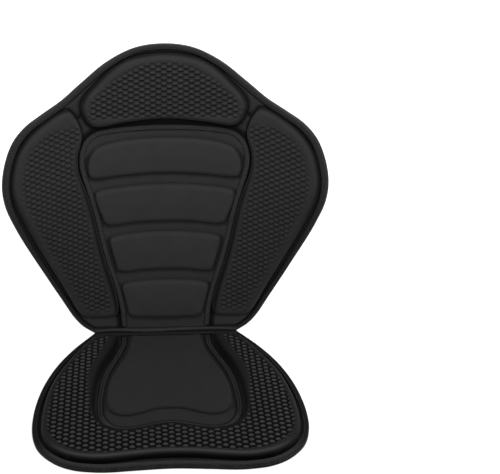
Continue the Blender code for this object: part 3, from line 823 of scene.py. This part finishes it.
def seat_row_depth(rows):
    """Place of a row of hexagons, forward from the hinge."""
    return np.expm1(SEAT_ROW_GROWTH * rows) * SEAT_ROW / SEAT_ROW_GROWTH


def seat_hexagon_points(outline):
    """Mesh points that follow the cushion's hexagons, over the outline's box."""
    low = (outline[:, 0].min(), seat_rows(outline[:, 1].min()))
    high = (outline[:, 0].max(), seat_rows(outline[:, 1].max()))
    points = hexagon_points(low, high, (SEAT_COLUMN, 1.0), SEAT_SQUAT)
    return np.column_stack([points[:, 0], seat_row_depth(points[:, 1])])


def seat_emboss(points):
    """Height share of the cushion's hexagons, flat crowns between deep furrows, with a painted
    highlight on the crowns and painted shade in the furrows.
    """
    place = np.column_stack([points[:, 0], seat_rows(points[:, 1])])
    share = hexagon_place(place, (SEAT_COLUMN, 1.0), SEAT_SQUAT)[0]
    rise = 1.0 - step_up(share, CROWN, FOOT)
    tone = ramp(rise, SEAT_CROWN_SHADE, SEAT_FURROW_TONE, SEAT_CROWN_TONE)
    return rise - SEAT_CROWN_ROUND * share * share, tone


def ring_points(outline, insets):
    """Points along the outline at several distances inside it, where they still fit."""
    normal = inward(outline)
    found = []
    for inset in insets:
        ring = outline + normal * inset
        depth = nearest(ring, outline)[0]
        found.append(ring[np.abs(depth - inset) < 0.08 + 0.04 * inset])
    return np.vstack(found)


def thinned(points, spacing):
    """The points, at most one in each small square."""
    cells = np.round(points / spacing)
    kept = np.unique(cells, axis=0, return_index=True)[1]
    return points[np.sort(kept)]


def gentle_waves(points, waves):
    """Soft unevenness: waves gives its height, the length of its waves and its seed."""
    height, length, seed = waves
    rng = np.random.default_rng(seed)
    total = np.zeros(len(points))
    for _ in range(WAVE_COUNT):
        angle = rng.uniform(0, 2 * math.pi)
        stretch = length * rng.uniform(*WAVE_STRETCH)
        phase = rng.uniform(0, 2 * math.pi)
        run = points[:, 0] * math.cos(angle) + points[:, 1] * math.sin(angle)
        total += np.sin(run * 2 * math.pi / stretch + phase)
    return height * (total / WAVE_COUNT)


# Materials

def shader(name, colour, roughness, sheen=0.0, specular=0.03):
    """New material and its Principled shader."""
    item = bpy.data.materials.new(name)
    item.use_nodes = True
    principled = item.node_tree.nodes["Principled BSDF"]
    values = {"Base Color": (*colour, 1.0), "Roughness": roughness, "Sheen Weight": sheen,
              "Sheen Roughness": 0.5, "Specular IOR Level": specular}
    for socket, value in values.items():
        principled.inputs[socket].default_value = value
    item.diffuse_color = (*colour, 1.0)
    return item, item.node_tree, principled


def node(tree, kind, inputs, **settings):
    """New node's outputs; its inputs are numbers, colours or other nodes' outputs."""
    item = tree.nodes.new("ShaderNode" + kind)
    for name, value in settings.items():
        setattr(item, name, value)
    for name, value in inputs.items():
        if isinstance(value, bpy.types.NodeSocket):
            tree.links.new(value, item.inputs[name])
        else:
            item.inputs[name].default_value = value
    return item.outputs


def waves(tree, place, direction, per_mm):
    """Ribs of thread across the pattern, as a height share."""
    inputs = {"Scale": per_mm * 2 * math.pi / 20, "Distortion": 0.6, "Detail": 1.0,
              "Vector": place}
    return node(tree, "TexWave", inputs, bands_direction=direction)["Fac"]


def noise(tree, place, per_mm, detail=3.0):
    """Soft random variation over the pattern."""
    return node(tree, "TexNoise", {"Scale": per_mm, "Detail": detail, "Vector": place})["Fac"]


def combined(tree, operation, a, b):
    """Two values put together; each is an output or a number."""
    return node(tree, "Math", {0: a, 1: b}, operation=operation)["Value"]


def ranged(tree, value, low, high):
    """A 0 to 1 value spread between two others."""
    return node(tree, "MapRange", {"To Min": low, "To Max": high, "Value": value})["Result"]


def bumped(tree, principled, height, depth_mm):
    """Relief too fine for the mesh, from a height share."""
    bump = node(tree, "Bump", {"Strength": 1.0, "Distance": depth_mm * MM, "Height": height})
    tree.links.new(bump["Normal"], principled.inputs["Normal"])


def tinted(tree, principled, colour, shade):
    """Base colour that follows a shade factor around 1."""
    mix = tree.nodes.new("ShaderNodeMix")
    mix.data_type = "RGBA"
    mix.blend_type = "MULTIPLY"
    mix.inputs[0].default_value = 1.0
    mix.inputs[6].default_value = (*colour, 1.0)
    tree.links.new(shade, mix.inputs[7])
    tree.links.new(mix.outputs[2], principled.inputs["Base Color"])


def woven(name, colour, roughness, threads_mm, depth_mm, sheen=0.0, fleck=0.0):
    """Cloth: crossed threads, a fine grain, flecks, and patches a little lighter and darker."""
    item, tree, principled = shader(name, colour, roughness, sheen)
    place = node(tree, "UVMap", {}, uv_map="pattern")["UV"]
    warp = waves(tree, place, "X", threads_mm)
    weft = waves(tree, place, "Y", threads_mm)
    threads = combined(tree, "MAXIMUM", warp, weft)
    fuzz = noise(tree, place, threads_mm * FUZZ_PER_THREAD, 2.0)
    height = combined(tree, "ADD", combined(tree, "MULTIPLY", threads, 1.0 - FUZZ),
                      combined(tree, "MULTIPLY", fuzz, FUZZ))
    bumped(tree, principled, height, depth_mm)
    patches = ranged(tree, noise(tree, place, PATCHES_PER_MM), 1.0 - PATCHES, 1.0 + PATCHES)
    # The gaps between the threads are painted darker, as shade
    shade = combined(tree, "MULTIPLY", patches, ranged(tree, height, *THREAD_SHADE))
    if fleck:
        flecks = ranged(tree, noise(tree, place, FLECKS_PER_MM, 1.0), 1.0 - fleck, 1.0 + fleck)
        shade = combined(tree, "MULTIPLY", shade, flecks)
    # Light and shade painted on the mesh, in a point attribute: shade in creases, furrows and grooves,
    # highlights on crowns and rims
    painted_light_factor = node(tree, "Attribute", {}, attribute_name="tone")["Fac"]
    tinted(tree, principled, colour, combined(tree, "MULTIPLY", shade, painted_light_factor))
    less, more = ROUGH_SPREAD
    rough = ranged(tree, noise(tree, place, ROUGH_PER_MM), roughness - less, roughness + more)
    tree.links.new(rough, principled.inputs["Roughness"])
    return item


def plastic(name, colour, roughness, grain_mm):
    """Foam or moulded plastic with a fine even grain."""
    item, tree, principled = shader(name, colour, roughness)
    grain = noise(tree, node(tree, "TexCoord", {})["Object"], 1000 / grain_mm)
    bumped(tree, principled, grain, GRAIN_DEPTH)
    tinted(tree, principled, colour, ranged(tree, grain, *GRAIN_SHADE))
    return item


# Pieces

def kept(shape, solid, body, slot, materials, fill=None):
    """Finish a piece, lay it on its body and let it stand for its solid."""
    piece = shape.build(solid + "_skin", materials)
    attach(piece, body)
    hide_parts(solid)
    return piece


def open_frame(edge, seam):
    """Outline of an outer panel: the whole edge, open to the hinge inside the seam."""
    inner = seam[::-1]
    first = (inner[0][0], edge[-1][1])
    last = (inner[-1][0], edge[0][1])
    return np.vstack([edge, [first], inner, [last]])


def middle(seam, hinge_side):
    """Outline of a centre panel: inside the seam, down to the hinge."""
    return np.vstack([[(seam[0][0], hinge_side)], seam, [(seam[-1][0], hinge_side)]])


def moved(chain, distance):
    """Open chain that turns anticlockwise, moved away from its inside."""
    return chain - inward(chain, closed=False) * distance


BACK_OUTLINE = anticlockwise(smooth(mirrored(back_pattern(BACK_EDGE))))
BACK_SEAM_LINE = smooth(mirrored(back_pattern(BACK_SEAM)))
SEAT_OUTLINE = anticlockwise(smooth(mirrored(seat_pattern(SEAT_EDGE))))
SEAT_SEAM_LINE = smooth(mirrored(seat_pattern(SEAT_SEAM)))


def inner_edge(outline):
    """Outline of the layers that lie inside the folded binding."""
    return outline + inward(outline) * (TAPE + SIDE_GAP)


def back_mask(points):
    """Where the backrest's bolsters carry hexagons: away from the edge, the seam and the ends."""
    across = np.abs(points[:, 0])
    up = points[:, 1]
    edge = nearest(points, BACK_OUTLINE)[0]
    seam = distance_to(points, BACK_SEAM_LINE)
    side = step_up(edge, *SIDE_FADES["edge"]) * step_up(seam, *SIDE_FADES["seam"])
    side *= step_up(up, *SIDE_FADES["foot"]) * (1.0 - step_up(up, *SIDE_FADES["top"]))
    side *= SIDE_STRENGTH * step_up(across, *SIDE_FADES["inner"])
    head = step_up(edge, *HEAD_FADES["edge"]) * step_up(up, *HEAD_FADES["foot"])
    head *= 1.0 - step_up(across, *HEAD_FADES["ends"])
    return np.where((up > HEAD_FROM) & (across < HEAD_HALF), head, side)


def panel(name, body, outline, pads, surface, low, place, materials, fill, groove=None,
          hexagons=None, mask=None):
    """Moulded panel: rings of mesh points along its pads and its groove, points that follow the
    hexagons where the mask lets them, and even ones over the plain areas between."""
    border = anticlockwise(outline)
    rings = [ring_points(pad, RING_INSETS) for pad in pads]
    if groove is not None:
        rings.append(ring_points(groove, GROOVE_INSETS))
    rings = np.vstack(rings)
    points = [rings[nearest(rings, border)[0] > RING_CLEAR]]
    plain = lattice(outline.min(axis=0), outline.max(axis=0), FILL_PITCH)
    plain = plain[nearest(plain, outline)[0] > FILL_PITCH * 0.55]
    for pad in pads:
        depth = near_pad(plain, pad)[0]
        plain = plain[(depth <= RING_INSETS[0] - 0.8) | (depth >= RING_INSETS[-1] + 1.0)]
    if hexagons is not None:
        plain = plain[mask(plain) <= HEXAGONS_FROM]
        hexagons = hexagons[nearest(hexagons, border)[0] > FILL_PITCH]
        points.append(hexagons[mask(hexagons) > HEXAGONS_FROM])
    shape = Shape()
    relief(shape, outline, thinned(np.vstack(points + [plain]), LEAST_APART), surface, low, place)
    return kept(shape, name, body, "laminate", materials, fill)


def build_back_outer(materials):
    """Moulded outer panel: flange, head pad and the two side bolsters."""
    layers = inner_edge(BACK_OUTLINE)
    outline = open_frame(layers, moved(BACK_SEAM_LINE, SIDE_GAP))
    right = anticlockwise(smooth(back_pattern(SIDE_BOLSTER), closed=True))
    left = anticlockwise(right * (-1.0, 1.0))
    pads = (anticlockwise(pad_outline(back_pattern(HEAD_PAD))), right, left)
    least, more = BACK_BOLSTER_WALL

    def surface(points):
        # Painted shade in the binding's groove, along the seam and in the pads' creases; the panel
        # painted a little darker overall and lighter at its foot
        level, tone = binding_groove(points, layers)
        level += BACK_TOP_W
        tone *= ramp(distance_to(points, BACK_SEAM_LINE), BACK_SEAM_SHADE, BACK_SEAM_TONE)
        tone *= BACK_OUTER_TONE * ramp(points[:, 1], BACK_FOOT_SHADE, BACK_FOOT_TONE)
        for pad in pads:
            depth, facing = near_pad(points, pad)
            rise, wall = pad_form(depth, least + more * np.clip(facing, 0.0, 1.0), BOLSTER_HEIGHT,
                                  BACK_BOLSTER_CROWN, BOLSTER_CREASE, BACK_BOLSTER_SHADE)
            level += rise
            tone *= wall
        level += gentle_waves(points, BACK_OUTER_WAVES) * step_up(level, *BACK_TOPS)
        mask = back_mask(points)
        # Painted highlight on the hexagons' crowns and painted shade in their furrows
        rise, furrow = back_emboss(points)
        return level + BACK_EMBOSS * (rise - 1.0) * mask, tone * (1.0 + (furrow - 1.0) * mask)

    hexes = hexagon_points(outline.min(axis=0), outline.max(axis=0), BACK_HEXAGON, BACK_SQUAT)
    return panel("back_outer_panel", "back", outline, pads, surface, BACK_FLANGE_W, on_back,
                 materials, MOULDED_FILL, layers, hexes, back_mask)


def build_back_centre(materials):
    """Moulded centre panel with four smooth lumbar pads."""
    layers = inner_edge(BACK_OUTLINE)
    outline = middle(moved(BACK_SEAM_LINE, -SIDE_GAP), layers[:, 1].min())
    pads = [anticlockwise(pad_outline(back_pattern(half))) for half in LUMBAR_PADS]
    least, more = LUMBAR_WALL

    def surface(points):
        level = np.full(len(points), BACK_TOP_W)
        # Painted shade along the seam and in the pads' creases, lifted as painted light on the sides of
        # the pads that face up
        tone = ramp(distance_to(points, BACK_SEAM_LINE), BACK_INNER_SHADE, BACK_INNER_TONE)
        for pad in pads:
            depth, facing = near_pad(points, pad)
            level_edge = np.abs(facing) ** 2
            rise, wall = pad_form(depth, least + more * level_edge, LUMBAR_HEIGHT, LUMBAR_CROWN,
                                  LUMBAR_CREASE * (1.0 - LUMBAR_EASE * level_edge), LUMBAR_SHADE)
            level += rise
            light, low, high = LUMBAR_UPPER_LIGHT
            tone *= wall + (1.0 - wall) * light * step_up(facing, low, high)
        half, fade = BACK_CENTRE_WAVES_END
        bands = step_up(half - np.abs(points[:, 0]), 0.0, fade)
        return level + gentle_waves(points, BACK_CENTRE_WAVES) * bands, tone

    return panel("back_centre_panel", "back", outline, pads, surface, BACK_FLANGE_W, on_back,
                 materials, MOULDED_FILL)


def seat_bolster():
    """Outline of the U-shaped bolster on the cushion, and its side along the seam."""
    outer = smooth(mirrored(seat_pattern(SEAT_BOLSTER_OUTER)))
    inner = smooth(mirrored(seat_pattern(SEAT_BOLSTER_INNER)[::-1]))
    return anticlockwise(np.vstack([outer, inner[::-1]])), inner


def build_seat_outer(materials):
    """Moulded outer panel: flange and the U-shaped bolster."""
    layers = inner_edge(SEAT_OUTLINE)
    outline = open_frame(layers, moved(SEAT_SEAM_LINE, SIDE_GAP))
    bolster, seam_side = seat_bolster()

    def seat_mask(points):
        edge = nearest(points, SEAT_OUTLINE)[0]
        seam = distance_to(points, SEAT_SEAM_LINE)
        clear = ramp(points[:, 1], SEAT_CLEAR_RUN, SEAT_CLEAR_REAR, SEAT_CLEAR_FRONT)
        mask = step_up(edge, *SEAT_FADES["edge"]) * step_up(seam - clear, *SEAT_FADES["seam"])
        return mask * step_up(nearest(points, bolster)[0], *SEAT_FADES["wall"])

    def surface(points):
        # Painted shade in the binding's groove, in the bolster's crease and along the seam; the sides
        # and rear painted darker than the front, with a painted highlight along the front rim and
        # painted shade in the gap before it
        level, tone = binding_groove(points, layers)
        level += SEAT_TOP_Z
        depth = near_pad(points, bolster)[0]
        nearer = np.abs(depth) + SEAM_SIDE_BLEND - distance_to(points, seam_side)
        inner = step_up(nearer, 0.0, SEAM_SIDE_BLEND)
        gentle = ramp(points[:, 1], SEAT_RAMP_RUN, SEAT_RAMP_REAR, SEAT_RAMP_FRONT)
        rise, wall = pad_form(depth, SEAT_BOLSTER_WALL * (1.0 - inner) + gentle * inner,
                              BOLSTER_HEIGHT, SEAT_BOLSTER_CROWN, BOLSTER_CREASE,
                              SEAT_BOLSTER_SHADE)
        level += rise
        level += gentle_waves(points, SEAT_OUTER_WAVES) * step_up(level, *SEAT_TOPS)
        front = step_up(points[:, 1], *SEAT_FRONT)
        seam = distance_to(points, SEAT_SEAM_LINE)
        tone *= wall * ramp(seam, SEAT_SEAM_SHADE, SEAT_SEAM_TONE)
        tone *= ramp(points[:, 1], SEAT_FRONT, SEAT_SIDE_TONE)
        rim_line, rim_width = SEAT_RIM
        rim = np.exp(-((depth - rim_line) / rim_width) ** 2)
        tone *= 1.0 + (SEAT_RIM_TONE * rim + SEAT_FRONT_TONE - 1.0) * front
        lobes = step_up(np.abs(points[:, 0]), *SEAT_LOBES) + (1.0 - front)
        lit = depth + SEAT_FRONT_GAP * (1.0 - np.clip(lobes, 0.0, 1.0))
        tone *= ramp(lit, SEAT_GAP_SHADE, SEAT_FRONT_GAP_TONE)
        # Painted highlight on the hexagons' crowns and painted shade in their furrows
        mask = seat_mask(points)
        rise, furrow = seat_emboss(points)
        return level + SEAT_EMBOSS * (rise - 1.0) * mask, tone + (furrow - tone) * mask

    return panel("seat_outer_panel", "seat", outline, [bolster], surface, SEAT_FLANGE_Z, on_seat,
                 materials, MOULDED_FILL, layers, seat_hexagon_points(outline), seat_mask)


def build_seat_centre(materials):
    """Smooth keyhole-shaped pillow in the middle of the cushion."""
    layers = inner_edge(SEAT_OUTLINE)
    outline = middle(moved(SEAT_SEAM_LINE, -SIDE_GAP), layers[:, 1].min())
    pillow = anticlockwise(smooth(mirrored(seat_pattern(PILLOW))))
    least, more = PILLOW_WALL

    def surface(points):
        depth, facing = near_pad(points, pillow)
        rise, wall = pad_form(depth, least + more * np.clip(facing, 0.0, 1.0), PILLOW_HEIGHT,
                              PILLOW_CROWN, PILLOW_CREASE, PILLOW_SHADE)
        level = SEAT_TOP_Z + rise
        level += gentle_waves(points, SEAT_CENTRE_WAVES) * step_up(depth, *PILLOW_WAVES_RUN)
        # Painted shade along the seam and at the foot of the pillow's wall
        seam = ramp(distance_to(points, SEAT_SEAM_LINE), SEAT_INNER_SHADE, SEAT_SEAM_TONE)
        return level, (PILLOW_LIGHT + (1.0 - PILLOW_LIGHT) * wall) * seam

    return panel("seat_centre_panel", "seat", outline, [pillow], surface, SEAT_FLANGE_Z, on_seat,
                 materials, PILLOW_FILL)


def binding_section(low, high):
    """Section of a tape folded round an edge, a little fuller between its seam and the edge."""
    bottom = low - LAYER_GAP
    top = high + LAYER_GAP
    outside = [(BINDING_WIDTH, bottom), (BINDING_WIDTH - 0.2, bottom - TAPE * 0.5),
               (BINDING_WIDTH - 1.0, bottom - TAPE * 0.75), (3.0, bottom - TAPE * 0.75),
               (1.2, bottom - TAPE * 0.7), (0.25, bottom - TAPE * 0.2), (0.0, bottom + 1.0),
               (0.0, top - 1.0), (0.25, top + TAPE * 0.5), (1.2, top + TAPE + 0.6 * BINDING_PUFF),
               (3.0, top + TAPE + BINDING_PUFF), (4.6, top + TAPE + 0.8 * BINDING_PUFF),
               (BINDING_WIDTH - 1.9, top + TAPE), (BINDING_WIDTH - 0.8, top + TAPE),
               (BINDING_WIDTH - 0.1, top + TAPE * 0.6), (BINDING_WIDTH, top)]
    inside = [(BINDING_WIDTH - 0.6, top), (TAPE, top), (TAPE, bottom),
              (BINDING_WIDTH - 0.6, bottom)]
    return outside + inside


def build_binding(name, body, edge, low, high, place, materials, painted_side_shade=1.0):
    """Folded tape round the whole edge, with its row of stitches on both sides."""
    shape = Shape()
    pucker, length = BINDING_PUCKER
    puckers = pucker * np.sin(arc_length(edge) * 2 * math.pi / length)[:, None]
    outer_top = high + LAYER_GAP + TAPE
    section = np.array(binding_section(low, high))
    across = section[:, 0]
    lift = puckers * (section[:, 1] > outer_top + 0.1)
    # Painted shade along the binding's inner edge and its outer fold, and on the cushion over the
    # binding's sides and rear
    tone = ramp(BINDING_WIDTH - across, BINDING_INNER_SHADE, BINDING_INNER_TONE)
    tone *= ramp(across, BINDING_EDGE_SHADE, EDGE_TONE)
    tone = tone * ramp(edge[:, 1] / edge[:, 1].max(), BINDING_FRONT, painted_side_shade)[:, None]
    swept(shape, edge, section, place, lift=lift, tone=tone)
    row = edge + inward(edge) * BINDING_ROW
    row = np.vstack([row, row[:1]])
    for level in (outer_top + BINDING_STITCH_RISE, low - LAYER_GAP - TAPE + BINDING_STITCH_SUNK):
        stitched(shape, row, BINDING_STITCH, level, place)
    return kept(shape, name, body, "tape", materials)


def build_seam_tape(name, body, seam, level, place, materials, straight=False):
    """Flat tape over the joint of two panels, held by zigzag or by two straight rows."""
    half = SEAM_TAPE_WIDTH / 2
    section = [(half, level), (half, level + 0.5 * TAPE), (half - 0.5, level + TAPE),
               (2.0, level + TAPE * 1.3), (0.0, level + TAPE * 1.1), (-2.0, level + TAPE * 1.3),
               (-half + 0.5, level + TAPE), (-half, level + 0.5 * TAPE), (-half, level)]
    shape = Shape()
    # Painted shade along both edges of the tape; the backrest's tape painted lighter, and the cushion's
    # painted darker but for its front
    tone = ramp(half - np.abs(np.array(section)[:, 0]), TAPE_EDGE_SHADE, TAPE_EDGE_TONE)
    above = level + TAPE * 1.25 + 0.15
    if straight:
        tone = tone * ramp(seam[:, 1], SEAT_TAPE_FRONT, SEAT_TAPE_TONE)[:, None]
        for side in (-TAPE_ROW, TAPE_ROW):
            stitched(shape, moved(seam, side), TAPE_STITCH, above - 0.05, place)
    else:
        tone = tone * BACK_TAPE_TONE
        zigzag(shape, seam, TAPE_ZIGZAG, above, place)
    swept(shape, seam, section, place, closed=False, tone=tone)
    return kept(shape, name, body, "tape", materials)


def build_hinge(materials):
    """Tape in the corner between cushion and backrest, with its rolled edge."""
    half = min(back_pattern(BACK_EDGE)[0][0], seat_pattern(SEAT_EDGE)[0][0]) - HINGE_SIDE_MARGIN
    low = LAYER_GAP
    high = LAYER_GAP + TAPE
    section = [("seat", HINGE_FLAP, low), ("seat", 1.2, low), ("back", 1.2, low),
               ("back", HINGE_FLAP, low), ("back", HINGE_FLAP, high)]
    for n in range(7):
        turn = math.radians(110 - 40 * n)
        section.append(("back", 5.2 + HINGE_ROLL * math.sin(turn), high + HINGE_ROLL * 0.8
                        - HINGE_ROLL * 0.9 * math.cos(turn + math.pi)))
    section += [("back", 2.6, high + 0.4), ("seat", 2.2, high + 0.5), ("seat", 4.5, high),
                ("seat", HINGE_FLAP - 0.3, high)]
    columns = np.linspace(-half, half, round(2 * half / CURVE_STEP) + 1)
    places = np.stack([columns, columns * 0], axis=1)
    uneven = gentle_waves(places, ROLL_WAVES)
    drift = gentle_waves(places, ROLL_DRIFT) - 1.5 * step_up(np.abs(columns), 85.0, half)
    rows = []
    for side, reach, level in section:
        lift = level + (uneven if level > high + 0.1 else 0.0)
        reach = reach + (drift if level > high + 0.5 else 0.0)
        if side == "seat":
            rows.append(on_seat(columns, reach, HINGE[2] / MM + lift))
        else:
            rows.append(on_back(columns, reach, HINGE_W + lift))
    places = np.arange(len(section)) * 2.0
    sheet = np.stack(np.broadcast_arrays(columns[:, None], places), axis=-1)
    shape = Shape()
    # Painted highlight on the rolled edge and painted shade over the rest of the tape
    tone = [ROLL_TONE if level > high + 0.5 else HINGE_TONE for _, _, level in section]
    shape.add(np.stack(rows, axis=1), tube_faces(len(columns), len(section)), sheet,
              tone=np.tile(tone, len(columns)))
    piece = shape.build("hinge_tape_skin", materials)
    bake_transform(piece)
    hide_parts("hinge_tape")
    return piece


def build_back_rear(materials):
    """Cloth on the rear of the backrest, with the stitches of the seam coming through."""
    outline = inner_edge(BACK_OUTLINE)
    inner = lattice(outline.min(axis=0), outline.max(axis=0), REAR_PITCH)

    def height(points):
        depth, width = SEAM_DIP
        dip = depth * np.exp(-(distance_to(points, BACK_SEAM_LINE) / width) ** 2)
        return dip + gentle_waves(points, REAR_WAVES) + REAR_WAVES[0]

    shape = Shape()
    thin_sheet(shape, outline, inner[nearest(inner, outline)[0] > COVER_MARGIN], height, COVER, on_back)
    for side in (-REAR_ROW, REAR_ROW):
        stitched(shape, moved(BACK_SEAM_LINE, side), REAR_STITCH, 0.1, on_back)
    return kept(shape, "back_rear_cover", "back", "grip_fabric", materials)


def build_seat_bottom(materials):
    """Underside of the cushion: cloth with rows of small grip dots."""
    outline = inner_edge(SEAT_OUTLINE)
    ground = outline + inward(outline) * RIM_MARGIN
    low, high = outline.min(axis=0), outline.max(axis=0)
    inner = lattice(low, high, BOTTOM_PITCH)
    inner = inner[nearest(inner, outline)[0] > COVER_MARGIN]
    rings = ring_points(outline, RIM_INSETS)

    def height(points):
        depth = nearest(points, ground)[0]
        return GROUND_GAP + SEAT_RIM_Z * (1.0 - step_up(depth, *BOTTOM_RAMP))

    shape = Shape()
    thin_sheet(shape, outline, thinned(np.vstack([inner, rings]), 0.2), height,
               SEAT_RIM_Z + COVER, on_seat)
    turns = 2 * math.pi * np.arange(DOT_SIDES) / DOT_SIDES
    round_dot = np.stack([np.cos(turns), np.sin(turns)], axis=1)
    dot = np.vstack([round_dot * radius for radius, _ in DOT_RINGS])
    levels = np.repeat([level for _, level in DOT_RINGS], DOT_SIDES)
    dots = lattice(low, high, DOT_PITCH)
    for centre in dots[nearest(dots, ground)[0] > DOT_MARGIN]:
        points = dot + centre
        shape.add(on_seat(points[:, 0], points[:, 1], levels),
                  tube_faces(len(DOT_RINGS), DOT_SIDES), points, 1)
    return kept(shape, "seat_bottom_cover", "seat", "grip_fabric", materials)


def webbing_lift(u):
    """How far the webbing stands off the rear cover, which makes its two strap loops."""
    reach = np.clip(np.abs(np.abs(u) - LOOP_PLACE) / LOOP_HALF_SPAN, 0.0, 1.0)
    return LOOP_HEIGHT * (0.5 + 0.5 * np.cos(math.pi * reach ** 1.6))


def build_webbing(name, middle_v, materials):
    """Webbing band sewn across the rear, with two loops and its bar tacks."""
    columns = np.linspace(-WEBBING_LENGTH / 2, WEBBING_LENGTH / 2, WEBBING_COLUMNS)
    half = WEBBING_WIDTH / 2
    near = -LAYER_GAP - webbing_lift(columns)
    rows = []
    section = [(-half, 0.3), (-half + 0.5, 0.0), (half - 0.5, 0.0), (half, 0.3), (half, 0.75),
               (half - 0.5, 1.0), (half * 0.5, 1.04), (0.0, 1.0), (-half * 0.5, 1.04),
               (-half + 0.5, 1.0), (-half, 0.75)]
    for across, share in section:
        rows.append(on_back(columns, middle_v + across, near - share * WEBBING_THICKNESS))
    across = np.array([a for a, _ in section]) + middle_v
    sheet = np.stack(np.broadcast_arrays(columns[:, None], across), axis=-1)
    shape = Shape()
    shape.add(np.stack(rows, axis=1), tube_faces(len(columns), len(section)), sheet)
    level = -LAYER_GAP - WEBBING_THICKNESS - 0.05
    for place in TACK_PLACES + [-p for p in TACK_PLACES]:
        for shift in TACK_ROWS:
            line = np.array([(place + shift, middle_v - half + TACK_MARGIN),
                             (place + shift, middle_v + half - TACK_MARGIN)])
            zigzag(shape, line, BAR_TACK, level, on_back)
    return kept(shape, name, "back", "webbing", materials)


# Stage

def add_camera():
    """Camera at the photo's viewing angle, with the object left of the middle."""
    back = Vector((math.sin(VIEW_AZIMUTH) * math.cos(VIEW_ELEVATION),
                   -math.cos(VIEW_AZIMUTH) * math.cos(VIEW_ELEVATION),
                   math.sin(VIEW_ELEVATION)))
    data = bpy.data.cameras.new("camera")
    data.sensor_fit = "HORIZONTAL"
    data.sensor_width = SENSOR
    data.lens = VIEW_FOCAL_PIXELS / PHOTO_WIDTH * SENSOR
    data.shift_x = (PHOTO_WIDTH / 2 - OBJECT_MIDDLE_PIXEL) / PHOTO_WIDTH
    camera = bpy.data.objects.new("camera", data)
    camera.location = Vector(VIEW_TARGET) + back * VIEW_DISTANCE
    camera.rotation_euler = back.to_track_quat("Z", "Y").to_euler()
    bpy.context.scene.collection.objects.link(camera)
    bpy.context.scene.camera = camera


def add_softbox(name, place, target, size, power):
    """Square area lamp that faces the target."""
    data = bpy.data.lights.new(name, "AREA")
    data.size = size
    data.energy = power
    lamp = bpy.data.objects.new(name, data)
    lamp.location = place
    away = Vector(place) - Vector(target)
    lamp.rotation_euler = away.to_track_quat("Z", "Y").to_euler()
    bpy.context.scene.collection.objects.link(lamp)


def seen_rays(tree):
    """1 for what the camera sees, plainly, in a gloss or through a surface, and 0 for light."""
    rays = node(tree, "LightPath", {})
    seen = combined(tree, "MAXIMUM", rays["Is Camera Ray"], rays["Is Glossy Ray"])
    return combined(tree, "MAXIMUM", seen, rays["Is Transmission Ray"])


def add_floor():
    """Pale floor that looks white but for the object's shadow."""
    half = FLOOR_HALF
    mesh = bpy.data.meshes.new("floor")
    mesh.from_pydata([(-half, -half, 0), (half, -half, 0), (half, half, 0), (-half, half, 0)],
                     [], [(0, 1, 2, 3)])
    item, tree, principled = shader("floor_white", (FLOOR_GREY,) * 3, 0.9, specular=0.0)
    principled.inputs["Emission Color"].default_value = (1.0, 1.0, 1.0, 1.0)
    place = node(tree, "TexCoord", {})["Object"]
    length = node(tree, "VectorMath", {0: place}, operation="LENGTH")["Value"]
    away = node(tree, "MapRange", {**FLOOR_GLOW, "Value": length},
                interpolation_type="SMOOTHSTEP")["Result"]
    glow = combined(tree, "MULTIPLY", seen_rays(tree), away)
    tree.links.new(glow, principled.inputs["Emission Strength"])
    mesh.materials.append(item)
    floor = bpy.data.objects.new("floor", mesh)
    bpy.context.scene.collection.objects.link(floor)


def add_world():
    """Weak daylight on the object, and plain white behind it."""
    world = bpy.data.worlds.new("studio")
    world.use_nodes = True
    tree = world.node_tree
    background = tree.nodes["Background"]
    background.inputs["Color"].default_value = (1.0, 1.0, 1.0, 1.0)
    strength = ranged(tree, seen_rays(tree), AMBIENT, 1.0)
    tree.links.new(strength, background.inputs["Strength"])
    bpy.context.scene.world = world


def main():
    laminate = woven("laminate_black", (0.032, 0.032, 0.033), 0.62, 2.2, 0.10, sheen=0.05)
    # The cushion's cloth is the laminate again, painted darker as shade
    cushion = woven("laminate_black_painted_shade", (0.0185, 0.0185, 0.019), 0.58, 2.2, 0.10, sheen=0.03)
    tape = woven("tape_black", (0.025, 0.025, 0.0256), 0.68, 1.6, 0.16, sheen=0.04, fleck=0.8)
    thread = woven("thread_black", (0.050, 0.050, 0.051), 0.60, 3.0, 0.08, fleck=0.8)
    rear = woven("rear_cloth_black", (0.030, 0.030, 0.031), 0.70, 1.3, 0.20)
    webbing = woven("webbing_black", (0.045, 0.045, 0.046), 0.65, 0.9, 0.30)
    dots = plastic("grip_dots_black", (0.018, 0.018, 0.018), 0.45, 0.6)
    foam = plastic("foam_grey", (0.060, 0.060, 0.062), 0.90, 0.8)
    board = plastic("board_grey", (0.100, 0.100, 0.100), 0.50, 0.5)
    for name, item in (("seat_foam_board", foam), ("back_stiffener_board", board)):
        frame["nodes"][name].data.materials.clear()
        frame["nodes"][name].data.materials.append(item)

    build_back_outer([laminate])
    build_back_centre([laminate])
    build_seat_outer([cushion])
    build_seat_centre([cushion])
    build_binding("back_edge_binding", "back", BACK_OUTLINE, 0.0, BACK_TOP_W, on_back,
                  [tape, thread])
    build_binding("seat_edge_binding", "seat", SEAT_OUTLINE, SEAT_RIM_Z, SEAT_TOP_Z, on_seat,
                  [tape, thread], SEAT_BINDING_TONE)
    build_seam_tape("back_centre_tape", "back", BACK_SEAM_LINE, BACK_TOP_W + LAYER_GAP, on_back,
                    [tape, thread])
    build_seam_tape("seat_centre_tape", "seat", SEAT_SEAM_LINE, SEAT_TOP_Z + LAYER_GAP, on_seat,
                    [tape, thread], straight=True)
    build_hinge([tape])
    build_back_rear([rear, thread])
    build_seat_bottom([rear, dots])
    for name, middle_v in WEBBING_PLACES.items():
        build_webbing(name, middle_v, [webbing, thread])

    add_camera()
    add_floor()
    add_world()
    for name, (place, target, size, power) in LAMPS.items():
        add_softbox(name, place, target, size, power)
    bpy.context.scene.view_settings.view_transform = "Standard"


main()
